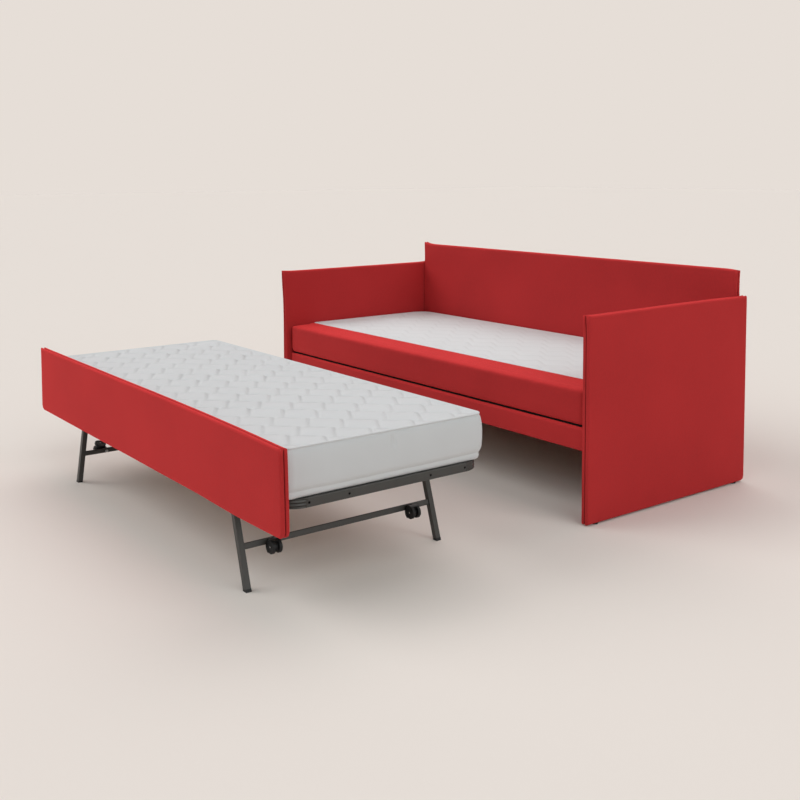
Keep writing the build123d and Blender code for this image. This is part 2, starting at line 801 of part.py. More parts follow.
def leg(side, t):
    """A square leg tube with a closed, rounded top that turns on the pivot bolt."""
    plane = leg_plane(side, bed_y + t * leg_offset)
    half = leg_size / 2
    with BuildSketch(plane) as profile:
        with Locations((0, -leg_length / 2)):
            Rectangle(leg_size, leg_length)
        Circle(half)
    extrude(profile.sketch, amount=half, both=True)
    long_edges = edges().filter_by(Axis(plane.origin, plane.y_dir)).filter_by(GeomType.LINE)
    fillet(long_edges, tube_round - tube_wall)
    with BuildSketch(plane) as profile:
        with Locations((0, -leg_length / 2)):
            Rectangle(leg_size - 2 * tube_wall, leg_length + tube_wall)
    extrude(profile.sketch, amount=half - tube_wall, both=True, mode=Mode.SUBTRACT)
    place = plane.location * Location((0, 0, -half - overrun))
    rod(place, pivot_radius + pivot_fit, leg_size + 2 * overrun, Mode.SUBTRACT)


def leg_cross(side):
    """The crossbar that joins the two legs, a flat tube with caster bolt holes."""
    with BuildSketch(leg_plane(side, bed_y)) as profile:
        with Locations((0, -cross_reach)):
            tube_section(cross_depth, cross_tall, tube_wall)
    extrude(profile.sketch, amount=cross_half, both=True)
    for t in (-1, 1):
        place = along_x(leg_plane(side, bed_y + t * caster_offset), -cross_depth, -cross_reach, 0)
        rod(place, caster_bolt_radius + caster_bolt_fit, 2 * cross_depth, Mode.SUBTRACT)


def foot_caps(side):
    """Moulded caps pushed into the leg ends, with soles cut level with the floor."""
    for t in (-1, 1):
        plane = leg_plane(side, bed_y + t * leg_offset)
        inner = leg_size - 2 * tube_wall - 2 * plug_fit
        with BuildSketch(plane) as profile:
            with Locations((0, -leg_length - foot_head)):
                Rectangle(leg_size, 2 * foot_head)
        extrude(profile.sketch, amount=leg_size / 2, both=True)
        with BuildSketch(plane) as profile:
            with Locations((0, -leg_length + foot_plug / 2)):
                Rectangle(inner, foot_plug)
        extrude(profile.sketch, amount=inner / 2, both=True)
        x = bed_x + side * leg_foot_spread
        y = bed_y + t * leg_offset
        foot_sole = -2 * foot_head
        block(x - 2 * leg_size, x + 2 * leg_size, y - leg_size, y + leg_size, foot_sole - leg_size, 0, Mode.SUBTRACT)


def foot_ends(side):
    """Longer cap heads, so that the level cut takes all of their lower faces."""
    for t in (-1, 1):
        with BuildSketch(leg_plane(side, bed_y + t * leg_offset)) as profile:
            with Locations((0, -leg_length - foot_head - foot_skew)):
                Rectangle(leg_size, 2 * foot_head + 2 * foot_skew)
        extrude(profile.sketch, amount=leg_size / 2, both=True)


def caster_bolts(side):
    """Bolts through the crossbar that the casters swivel on."""
    for t in (-1, 1):
        plane = leg_plane(side, bed_y + t * caster_offset)
        start = -cross_depth / 2
        rod(along_x(plane, start, -cross_reach, 0), caster_bolt_radius, cross_depth + collar_gap + caster_bolt_depth)
        rod(into_x(plane, start, -cross_reach, 0), caster_head_radius, caster_head_height)


with BuildPart() as near_leg_front:
    leg(1, -1)

with BuildPart() as near_leg_back:
    leg(1, 1)

with BuildPart() as near_crossbar:
    leg_cross(1)

with BuildPart() as near_foot_caps:
    foot_ends(1)
    foot_caps(1)

with BuildPart() as near_caster_bolts:
    caster_bolts(1)

with BuildPart() as far_leg_front:
    leg(-1, -1)

with BuildPart() as far_leg_back:
    leg(-1, 1)

with BuildPart() as far_crossbar:
    leg_cross(-1)

with BuildPart() as far_foot_caps:
    foot_ends(-1)
    foot_caps(-1)

with BuildPart() as far_caster_bolts:
    caster_bolts(-1)


def caster_plane(side, t):
    """A plane at a caster's swivel: its X is the swivel's line. One caster is turned aside, as in the photo."""
    turn = far_front_turn if side < 0 and t < 0 else 0
    middle = leg_plane(side, bed_y + t * caster_offset).location
    return Plane(middle * Location((0, -cross_reach, 0), (turn, 0, 0)))


def caster_hood(side, t):
    """A twin wheel caster's body: a half disc web, an arched hood over both wheels and a collar."""
    plane = caster_plane(side, t)
    far_half = 2 * hood_outer
    with BuildSketch(plane) as profile:
        with Locations((hub_x, -caster_trail)):
            Circle(hood_outer)
        with Locations(Location((hub_x, -caster_trail), -45)):
            with Locations((far_half / 2, 0)):
                Rectangle(far_half, 2 * far_half, mode=Mode.SUBTRACT)
        with Locations((hub_x, -caster_trail)):
            Circle(hood_hub_radius)
    extrude(profile.sketch, amount=hood_web / 2, both=True)
    with BuildSketch(plane) as profile:
        with Locations((hub_x, -caster_trail)):
            Circle(hood_outer)
            Circle(hood_inner, mode=Mode.SUBTRACT)
        with Locations(Location((hub_x, -caster_trail), -45)):
            with Locations((far_half / 2, 0)):
                Rectangle(far_half, 2 * far_half, mode=Mode.SUBTRACT)
    extrude(profile.sketch, amount=hood_half_width, both=True)
    start = cross_depth / 2 + collar_gap
    rod(along_x(plane, start, 0, 0), collar_radius, collar_length)
    for w in (-1, 1):
        with BuildSketch(plane.offset(w * wheel_inner)) as profile:
            with Locations((hub_x, -caster_trail)):
                Circle(hood_inner)
        extrude(profile.sketch, amount=w * hood_half_width, mode=Mode.SUBTRACT)
    rod(along_x(plane, 0, 0, 0), caster_bolt_radius + caster_bolt_fit,
        start + caster_bolt_depth + caster_bolt_fit, Mode.SUBTRACT)
    place = plane.location * Location((hub_x, -caster_trail, -far_half))
    rod(place, axle_radius + axle_fit, 2 * far_half, Mode.SUBTRACT)


def caster_wheels(side, t):
    """Two dished wheels of one caster."""
    plane = caster_plane(side, t)
    for w in (-1, 1):
        with BuildSketch(plane.offset(w * wheel_inner)) as profile:
            with Locations((hub_x, -caster_trail)):
                Circle(wheel_radius)
        extrude(profile.sketch, amount=w * wheel_width)
    rims = edges().filter_by(GeomType.CIRCLE).filter_by(lambda e: abs(e.radius - wheel_radius) < wheel_gap)
    fillet(rims, wheel_round)
    for w in (-1, 1):
        with BuildSketch(plane.offset(w * (wheel_inner + wheel_width - wheel_dish_depth))) as profile:
            with Locations((hub_x, -caster_trail)):
                Circle(wheel_dish_radius)
                Circle(wheel_hub_radius, mode=Mode.SUBTRACT)
        extrude(profile.sketch, amount=w * (wheel_dish_depth + overrun), mode=Mode.SUBTRACT)
    place = plane.location * Location((hub_x, -caster_trail, -2 * hood_outer))
    rod(place, axle_radius + wheel_bore_fit, 4 * hood_outer, Mode.SUBTRACT)


def caster_axle(side, t):
    plane = caster_plane(side, t)
    half = wheel_inner + wheel_width - axle_end_gap
    rod(plane.location * Location((hub_x, -caster_trail, -half)), axle_radius, 2 * half)


with BuildPart() as near_front_hood:
    caster_hood(1, -1)

with BuildPart() as near_front_wheels:
    caster_wheels(1, -1)

with BuildPart() as near_front_axle:
    caster_axle(1, -1)

with BuildPart() as near_back_hood:
    caster_hood(1, 1)

with BuildPart() as near_back_wheels:
    caster_wheels(1, 1)

with BuildPart() as near_back_axle:
    caster_axle(1, 1)

with BuildPart() as far_front_hood:
    caster_hood(-1, -1)

with BuildPart() as far_front_wheels:
    caster_wheels(-1, -1)

with BuildPart() as far_front_axle:
    caster_axle(-1, -1)

with BuildPart() as far_back_hood:
    caster_hood(-1, 1)

with BuildPart() as far_back_wheels:
    caster_wheels(-1, 1)

with BuildPart() as far_back_axle:
    caster_axle(-1, 1)

left_side_board.part.label = "left_side_board"
export_step(left_side_board.part, "parts/left_side_board.step")
right_side_board.part.label = "right_side_board"
export_step(right_side_board.part, "parts/right_side_board.step")
left_side_cover.part.label = "left_side_cover"
export_step(left_side_cover.part, "parts/left_side_cover.step")
right_side_cover.part.label = "right_side_cover"
export_step(right_side_cover.part, "parts/right_side_cover.step")
back_board.part.label = "back_board"
export_step(back_board.part, "parts/back_board.step")
back_cover.part.label = "back_cover"
export_step(back_cover.part, "parts/back_cover.step")
front_rail_board.part.label = "front_rail_board"
export_step(front_rail_board.part, "parts/front_rail_board.step")
front_rail_cover.part.label = "front_rail_cover"
export_step(front_rail_cover.part, "parts/front_rail_cover.step")
joint_bolts.part.label = "joint_bolts"
export_step(joint_bolts.part, "parts/joint_bolts.step")
barrel_nuts.part.label = "barrel_nuts"
export_step(barrel_nuts.part, "parts/barrel_nuts.step")
floor_glides.part.label = "floor_glides"
export_step(floor_glides.part, "parts/floor_glides.step")
bolster.part.label = "bolster"
export_step(bolster.part, "parts/bolster.step")
bolster_board.part.label = "bolster_board"
export_step(bolster_board.part, "parts/bolster_board.step")
bolster_blocks.part.label = "bolster_blocks"
export_step(bolster_blocks.part, "parts/bolster_blocks.step")
main_mattress.part.label = "main_mattress"
export_step(main_mattress.part, "parts/main_mattress.step")
seat_front_tube.part.label = "seat_front_tube"
export_step(seat_front_tube.part, "parts/seat_front_tube.step")
seat_rear_tube.part.label = "seat_rear_tube"
export_step(seat_rear_tube.part, "parts/seat_rear_tube.step")
seat_end_tubes.part.label = "seat_end_tubes"
export_step(seat_end_tubes.part, "parts/seat_end_tubes.step")
seat_slats.part.label = "seat_slats"
export_step(seat_slats.part, "parts/seat_slats.step")
seat_slat_caps.part.label = "seat_slat_caps"
export_step(seat_slat_caps.part, "parts/seat_slat_caps.step")
seat_brackets.part.label = "seat_brackets"
export_step(seat_brackets.part, "parts/seat_brackets.step")
seat_screws.part.label = "seat_screws"
export_step(seat_screws.part, "parts/seat_screws.step")
bed_rail_near.part.label = "bed_rail_near"
export_step(bed_rail_near.part, "parts/bed_rail_near.step")
bed_rail_far.part.label = "bed_rail_far"
export_step(bed_rail_far.part, "parts/bed_rail_far.step")
bed_rail_front.part.label = "bed_rail_front"
export_step(bed_rail_front.part, "parts/bed_rail_front.step")
bed_rail_back.part.label = "bed_rail_back"
export_step(bed_rail_back.part, "parts/bed_rail_back.step")
bed_corners.part.label = "bed_corners"
export_step(bed_corners.part, "parts/bed_corners.step")
bed_cross_bars.part.label = "bed_cross_bars"
export_step(bed_cross_bars.part, "parts/bed_cross_bars.step")
bed_slats.part.label = "bed_slats"
export_step(bed_slats.part, "parts/bed_slats.step")
bed_slat_caps.part.label = "bed_slat_caps"
export_step(bed_slat_caps.part, "parts/bed_slat_caps.step")
bed_mattress.part.label = "bed_mattress"
export_step(bed_mattress.part, "parts/bed_mattress.step")
bed_panel_board.part.label = "bed_panel_board"
export_step(bed_panel_board.part, "parts/bed_panel_board.step")
bed_panel_cover.part.label = "bed_panel_cover"
export_step(bed_panel_cover.part, "parts/bed_panel_cover.step")
panel_lugs.part.label = "panel_lugs"
export_step(panel_lugs.part, "parts/panel_lugs.step")
panel_screws.part.label = "panel_screws"
export_step(panel_screws.part, "parts/panel_screws.step")
leg_brackets.part.label = "leg_brackets"
export_step(leg_brackets.part, "parts/leg_brackets.step")
pivot_bolts.part.label = "pivot_bolts"
export_step(pivot_bolts.part, "parts/pivot_bolts.step")
pivot_nuts.part.label = "pivot_nuts"
export_step(pivot_nuts.part, "parts/pivot_nuts.step")
near_leg_front.part.label = "near_leg_front"
export_step(near_leg_front.part, "parts/near_leg_front.step")
near_leg_back.part.label = "near_leg_back"
export_step(near_leg_back.part, "parts/near_leg_back.step")
near_crossbar.part.label = "near_crossbar"
export_step(near_crossbar.part, "parts/near_crossbar.step")
near_foot_caps.part.label = "near_foot_caps"
export_step(near_foot_caps.part, "parts/near_foot_caps.step")
near_caster_bolts.part.label = "near_caster_bolts"
export_step(near_caster_bolts.part, "parts/near_caster_bolts.step")
far_leg_front.part.label = "far_leg_front"
export_step(far_leg_front.part, "parts/far_leg_front.step")
far_leg_back.part.label = "far_leg_back"
export_step(far_leg_back.part, "parts/far_leg_back.step")
far_crossbar.part.label = "far_crossbar"
export_step(far_crossbar.part, "parts/far_crossbar.step")
far_foot_caps.part.label = "far_foot_caps"
export_step(far_foot_caps.part, "parts/far_foot_caps.step")
far_caster_bolts.part.label = "far_caster_bolts"
export_step(far_caster_bolts.part, "parts/far_caster_bolts.step")
near_front_hood.part.label = "near_front_hood"
export_step(near_front_hood.part, "parts/near_front_hood.step")
near_front_wheels.part.label = "near_front_wheels"
export_step(near_front_wheels.part, "parts/near_front_wheels.step")
near_front_axle.part.label = "near_front_axle"
export_step(near_front_axle.part, "parts/near_front_axle.step")
near_back_hood.part.label = "near_back_hood"
export_step(near_back_hood.part, "parts/near_back_hood.step")
near_back_wheels.part.label = "near_back_wheels"
export_step(near_back_wheels.part, "parts/near_back_wheels.step")
near_back_axle.part.label = "near_back_axle"
export_step(near_back_axle.part, "parts/near_back_axle.step")
far_front_hood.part.label = "far_front_hood"
export_step(far_front_hood.part, "parts/far_front_hood.step")
far_front_wheels.part.label = "far_front_wheels"
export_step(far_front_wheels.part, "parts/far_front_wheels.step")
far_front_axle.part.label = "far_front_axle"
export_step(far_front_axle.part, "parts/far_front_axle.step")
far_back_hood.part.label = "far_back_hood"
export_step(far_back_hood.part, "parts/far_back_hood.step")
far_back_wheels.part.label = "far_back_wheels"
export_step(far_back_wheels.part, "parts/far_back_wheels.step")
far_back_axle.part.label = "far_back_axle"
export_step(far_back_axle.part, "parts/far_back_axle.step")
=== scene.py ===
import json
import math
from collections import namedtuple

import bmesh
import bpy
import numpy as np
from mathutils import Matrix, Vector
from mathutils import noise


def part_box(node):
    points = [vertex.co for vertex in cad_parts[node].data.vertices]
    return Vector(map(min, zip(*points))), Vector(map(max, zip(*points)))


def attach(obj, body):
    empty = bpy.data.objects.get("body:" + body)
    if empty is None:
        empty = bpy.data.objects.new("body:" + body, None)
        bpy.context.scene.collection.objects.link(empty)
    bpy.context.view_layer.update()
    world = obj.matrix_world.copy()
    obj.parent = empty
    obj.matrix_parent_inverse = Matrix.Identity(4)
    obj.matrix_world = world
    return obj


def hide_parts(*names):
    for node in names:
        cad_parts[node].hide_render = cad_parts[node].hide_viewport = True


# Lengths are in metres. X runs along the sofa, Y into it, Z up from the floor.

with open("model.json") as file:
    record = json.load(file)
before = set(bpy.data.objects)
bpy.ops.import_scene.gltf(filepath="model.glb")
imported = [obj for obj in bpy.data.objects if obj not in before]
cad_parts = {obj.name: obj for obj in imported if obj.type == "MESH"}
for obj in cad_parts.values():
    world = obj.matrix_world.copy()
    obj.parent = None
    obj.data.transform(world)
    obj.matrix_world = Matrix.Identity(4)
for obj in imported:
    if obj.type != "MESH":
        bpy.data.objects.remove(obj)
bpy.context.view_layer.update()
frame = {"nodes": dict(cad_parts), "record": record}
nodes = frame["nodes"]
scene = bpy.context.scene


# Materials

def srgb(r, g, b):
    """A written colour, 0 to 255, as linear values."""
    def one(c):
        c = c / 255
        return c / 12.92 if c <= 0.04045 else ((c + 0.055) / 1.055) ** 2.4
    return (one(r), one(g), one(b), 1.0)


def tone(colour, factor):
    """A colour made lighter or darker."""
    return (colour[0] * factor, colour[1] * factor, colour[2] * factor, 1.0)


class Paint:
    """A material with a few short helpers for its nodes."""

    def __init__(self, name):
        self.mat = bpy.data.materials.new(name)
        self.mat.use_nodes = True
        self.tree = self.mat.node_tree
        self.shader = self.tree.nodes["Principled BSDF"]
        self.place = self.tree.nodes.new("ShaderNodeTexCoord").outputs["Object"]

    def set(self, **values):
        for key, value in values.items():
            self.shader.inputs[key.replace("_", " ")].default_value = value

    def node(self, kind, **values):
        made = self.tree.nodes.new(kind)
        for key, value in values.items():
            setattr(made, key, value)
        return made

    def link(self, a, b):
        self.tree.links.new(a, b)

    def math(self, op, a, b=0.0, c=0.0):
        made = self.node("ShaderNodeMath", operation=op)
        for socket, value in zip(made.inputs, (a, b, c)):
            if isinstance(value, (int, float)):
                socket.default_value = value
            else:
                self.link(value, socket)
        return made.outputs[0]

    def attribute(self, name):
        return self.node("ShaderNodeAttribute", attribute_name=name).outputs["Fac"]

    def stretched(self, stretch):
        if stretch is None:
            return self.place
        made = self.node("ShaderNodeMapping")
        made.inputs["Scale"].default_value = stretch
        self.link(self.place, made.inputs["Vector"])
        return made.outputs["Vector"]

    def noise(self, scale, detail=3.0, rough=0.5, stretch=None):
        made = self.node("ShaderNodeTexNoise")
        made.inputs["Scale"].default_value = scale
        made.inputs["Detail"].default_value = detail
        made.inputs["Roughness"].default_value = rough
        self.link(self.stretched(stretch), made.inputs["Vector"])
        return made.outputs["Fac"]

    def waves(self, per_metre):
        """The sum of three sines, one along each axis: a thread grid on any flat face."""
        split = self.node("ShaderNodeSeparateXYZ")
        self.link(self.place, split.inputs[0])
        total = None
        for socket in split.outputs:
            turned = self.math("SINE", self.math("MULTIPLY", socket, per_metre * 2 * math.pi))
            total = turned if total is None else self.math("ADD", total, turned)
        return total

    def ramp(self, value, stops):
        made = self.node("ShaderNodeValToRGB")
        ramp = made.color_ramp
        while len(ramp.elements) < len(stops):
            ramp.elements.new(0.5)
        for element, (at, colour) in zip(ramp.elements, stops):
            element.position = at
            element.color = colour
        self.link(value, made.inputs["Fac"])
        return made.outputs["Color"]

    def span(self, value, low, high, to_low, to_high):
        made = self.node("ShaderNodeMapRange")
        for key, number in (("From Min", low), ("From Max", high), ("To Min", to_low), ("To Max", to_high)):
            made.inputs[key].default_value = number
        self.link(value, made.inputs["Value"])
        return made.outputs["Result"]

    def blended(self, how, factor, under, tint):
        """A colour blended with a tint, by a factor."""
        made = self.node("ShaderNodeMix", data_type="RGBA", blend_type=how)
        self.link(factor, made.inputs["Factor"])
        self.link(under, made.inputs["A"])
        made.inputs["B"].default_value = tint
        return made.outputs["Result"]

    def bump(self, height, distance, strength=1.0):
        made = self.node("ShaderNodeBump")
        made.inputs["Distance"].default_value = distance
        made.inputs["Strength"].default_value = strength
        self.link(height, made.inputs["Height"])
        return made.outputs["Normal"]

    def colour(self, value):
        self.link(value, self.shader.inputs["Base Color"])

    def rough(self, value):
        self.link(value, self.shader.inputs["Roughness"])

    def normal(self, value):
        self.link(value, self.shader.inputs["Normal"])


def red_fabric():
    """Woven cloth with slubs and cloudy dye. Painted shade darkens the seams' valleys, and painted light
    lightens cloth that faces up.
    """
    red = (0.416, 0.0232, 0.0242, 1.0)
    # tints for painted shade in the seams' valleys and for painted light on cloth that faces up
    seam_shade_tint = (0.16, 0.10, 0.10, 1.0)
    top_light_tint = (1.38, 1.28, 1.28, 1.0)
    p = Paint("red_fabric_weave")
    threads = p.waves(520)
    slub = p.noise(260, 4, 0.6, (1.0, 1.0, 0.35))
    cloud = p.noise(3.2, 2, 0.45)
    mix = p.math("ADD", p.math("MULTIPLY", slub, 0.5), p.math("MULTIPLY", cloud, 0.5))
    cloth = p.ramp(mix, [(0.36, tone(red, 0.90)), (0.5, red), (0.64, tone(red, 1.07))])
    # painted shade in the seams' valleys, as much as each point's seam mark
    seam_shading = p.span(p.attribute("seam_shade"), 0.0, 1.0, 0.0, 0.92)
    seam_shaded = p.blended("MULTIPLY", seam_shading, cloth, seam_shade_tint)
    # painted light: the more a face turns up, the lighter its cloth
    lie = p.node("ShaderNodeSeparateXYZ")
    p.link(p.node("ShaderNodeNewGeometry").outputs["Normal"], lie.inputs["Vector"])
    top_light = p.span(lie.outputs["Z"], 0.12, 0.95, 0.0, 1.0)
    p.colour(p.blended("MULTIPLY", top_light, seam_shaded, top_light_tint))
    p.rough(p.span(slub, 0.3, 0.7, 0.78, 0.9))
    height = p.math("ADD", p.math("MULTIPLY", threads, 0.33), p.math("MULTIPLY", slub, 1.2))
    p.normal(p.bump(height, 0.00022, 0.7))
    p.set(Sheen_Weight=1.0, Sheen_Roughness=0.41, Specular_IOR_Level=0.14)
    p.shader.inputs["Sheen Tint"].default_value = (1.0, 0.080, 0.078, 1.0)
    return p.mat


def ticking():
    """Knitted white ticking. Painted shade greys the quilting's folds and stitch lines, and painted light
    whitens a whole mattress.
    """
    white = (0.587, 0.576, 0.578, 1.0)
    quilt_shade_tint = (0.62, 0.62, 0.62, 1.0)
    painted_light_tint = (1.13, 1.135, 1.13, 1.0)
    p = Paint("mattress_ticking_knit")
    knit = p.waves(420)
    fine = p.noise(700, 2, 0.5)
    cloud = p.noise(5, 2, 0.5)
    mix = p.math("MULTIPLY_ADD", cloud, 0.4, p.math("MULTIPLY", fine, 0.25))
    cloth = p.ramp(mix, [(0.2, tone(white, 0.97)), (0.5, tone(white, 1.02))])
    # painted shade on the quilting's folds and stitch lines, as much as each point's mark
    quilt_shade = p.span(p.attribute("seam_shade"), 0.0, 1.0, 0.0, 0.45)
    quilt_shaded = p.blended("MULTIPLY", quilt_shade, cloth, quilt_shade_tint)
    # painted light: a marked mattress is whitened as a whole
    p.colour(p.blended("MULTIPLY", p.attribute("painted_light"), quilt_shaded, painted_light_tint))
    p.rough(p.span(fine, 0.3, 0.7, 0.82, 0.92))
    height = p.math("ADD", p.math("MULTIPLY", knit, 0.3), fine)
    p.normal(p.bump(height, 0.0002, 0.6))
    p.set(Sheen_Weight=0.1, Sheen_Roughness=0.5, Specular_IOR_Level=0.2)
    return p.mat


def frame_steel():
    """Dark powder coat with a fine peel, a little lighter on worn edges."""
    dark = (0.029, 0.0262, 0.0232, 1.0)
    worn_colour = (0.085, 0.082, 0.078, 1.0)
    p = Paint("frame_powder_coat")
    peel = p.noise(420, 2, 0.5)
    cloud = p.noise(14, 3, 0.6)
    pointed = p.node("ShaderNodeNewGeometry").outputs["Pointiness"]
    shade_patchiness = p.span(pointed, 0.52, 0.60, 0.0, 0.35)
    coat = p.ramp(cloud, [(0.3, tone(dark, 0.86)), (0.7, tone(dark, 1.16))])
    p.colour(p.blended("MIX", shade_patchiness, coat, worn_colour))
    p.rough(p.span(cloud, 0.3, 0.7, 0.36, 0.48))
    p.normal(p.bump(peel, 0.00012, 0.5))
    p.set(Metallic=0.15, Specular_IOR_Level=0.42)
    return p.mat


def black_plastic():
    """Moulded plastic with fine grain and faint scuffs."""
    p = Paint("moulded_black_plastic")
    grain = p.noise(900, 2, 0.5)
    scuff = p.noise(60, 4, 0.65)
    p.colour(p.ramp(scuff, [(0.35, (0.0045, 0.0045, 0.005, 1)), (0.75, (0.011, 0.011, 0.012, 1))]))
    p.rough(p.span(scuff, 0.3, 0.7, 0.42, 0.56))
    p.normal(p.bump(grain, 0.00008, 0.5))
    p.set(Specular_IOR_Level=0.3)
    return p.mat


def zinc():
    """Bright zinc plating, brushed one way."""
    p = Paint("zinc_plated_steel")
    brushed = p.noise(300, 3, 0.6, (1.0, 6.0, 1.0))
    cloud = p.noise(90, 3, 0.6)
    p.colour(p.ramp(cloud, [(0.3, (0.42, 0.42, 0.41, 1)), (0.7, (0.58, 0.58, 0.60, 1))]))
    p.rough(p.span(brushed, 0.3, 0.7, 0.28, 0.42))
    p.normal(p.bump(brushed, 0.00005, 0.5))
    p.set(Metallic=1.0)
    return p.mat


def slat_wood():
    """Lacquered beech, its grain along Y."""
    p = Paint("lacquered_beech_ply")
    grain = p.noise(60, 6, 0.65, (14.0, 0.6, 14.0))
    pores = p.noise(420, 3, 0.6, (8.0, 0.5, 8.0))
    mix = p.math("MULTIPLY_ADD", grain, 0.75, p.math("MULTIPLY", pores, 0.25))
    p.colour(p.ramp(mix, [(0.3, (0.38, 0.245, 0.125, 1)), (0.55, (0.60, 0.43, 0.255, 1)),
                          (0.8, (0.69, 0.53, 0.34, 1))]))
    p.rough(p.span(grain, 0.3, 0.7, 0.34, 0.46))
    p.normal(p.bump(pores, 0.0001, 0.5))
    return p.mat


def raw_board():
    """Bare chip board."""
    p = Paint("raw_chip_board")
    chip = p.node("ShaderNodeTexVoronoi")
    chip.inputs["Scale"].default_value = 190
    p.link(p.stretched((1.0, 1.0, 1.6)), chip.inputs["Vector"])
    dust = p.noise(500, 3, 0.6)
    mix = p.math("MULTIPLY_ADD", chip.outputs["Distance"], 0.6, p.math("MULTIPLY", dust, 0.5))
    p.colour(p.ramp(mix, [(0.2, (0.34, 0.23, 0.13, 1)), (0.5, (0.50, 0.37, 0.225, 1)),
                          (0.8, (0.62, 0.50, 0.33, 1))]))
    p.rough(p.span(dust, 0.3, 0.7, 0.72, 0.86))
    p.normal(p.bump(mix, 0.0002, 0.5))
    return p.mat


def painted_gap_shade():
    """Near-black colour with a felt grain for the board and blocks under the bolster: painted shade for the
    gap between the bolster and the rail.
    """
    p = Paint("painted_gap_shade_black")
    felt = p.noise(900, 4, 0.7)
    p.colour(p.ramp(felt, [(0.35, (0.006, 0.005, 0.005, 1)), (0.7, (0.014, 0.012, 0.012, 1))]))
    p.rough(p.span(felt, 0.3, 0.7, 0.85, 0.97))
    p.normal(p.bump(felt, 0.0002, 0.6))
    p.set(Specular_IOR_Level=0.1)
    return p.mat


paints = {"red_fabric": red_fabric(), "mattress_ticking": ticking(), "frame_steel": frame_steel(),
          "black_plastic": black_plastic(), "zinc_steel": zinc(), "slat_wood": slat_wood(),
          "board": raw_board()}
for row in frame["record"]["subparts"]:
    ob = nodes[row["node"]]
    ob.data.materials.clear()
    ob.data.materials.append(paints[row["material_slot"]])
# the board and blocks under the bolster get painted shade in place of their board material
gap_shade = painted_gap_shade()
for name in ("bolster_board", "bolster_blocks"):
    nodes[name].data.materials[0] = gap_shade


# Pieces and pads

def hum(points, scale, seed):
    """Smooth noise at each row of an array of points."""
    offset = Vector((seed * 13.7, seed * 7.1, seed * 3.3))
    return np.array([noise.noise(Vector(q) * scale + offset) for q in points])


def make_piece(name, verts, faces, body, slot, stands_for, seam_shade=None, painted_light=0.0):
    """One visible piece that rides on a body and stands for some of its nodes.

    seam_shade is each point's share of painted shade at a seam or along a quilting line, and painted_light
    is how much painted light whitens the whole piece.
    """
    mesh = bpy.data.meshes.new(name)
    mesh.from_pydata([tuple(v) for v in verts], [], faces)
    mesh.polygons.foreach_set("use_smooth", [True] * len(mesh.polygons))
    bm = bmesh.new()
    bm.from_mesh(mesh)
    bmesh.ops.recalc_face_normals(bm, faces=bm.faces)
    bm.to_mesh(mesh)
    bm.free()
    if seam_shade is not None:
        mark = mesh.attributes.new("seam_shade", "FLOAT", "POINT")
        mark.data.foreach_set("value", np.asarray(seam_shade, np.float32))
    if painted_light:
        painted_light_mark = mesh.attributes.new("painted_light", "FLOAT", "POINT")
        painted_light_mark.data.foreach_set("value", np.full(len(verts), painted_light, np.float32))
    mesh.materials.append(paints[slot])
    ob = bpy.data.objects.new(name, mesh)
    scene.collection.objects.link(ob)
    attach(ob, body)
    if stands_for:
        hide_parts(*stands_for)
    return ob


def sheet(start, across, rows, turned=False):
    """Faces of a grid of points whose first point has the number start."""
    faces = []
    for row in range(rows):
        for column in range(across):
            a = start + row * (across + 1) + column
            d = a + across + 1
            faces.append((a, d, d + 1, a + 1) if turned else (a, a + 1, d + 1, d))
    return faces


def band(last, here):
    """Faces between two closed rings of point numbers."""
    rows = zip(last, here, np.roll(here, -1), np.roll(last, -1))
    return [tuple(int(number) for number in row) for row in rows]


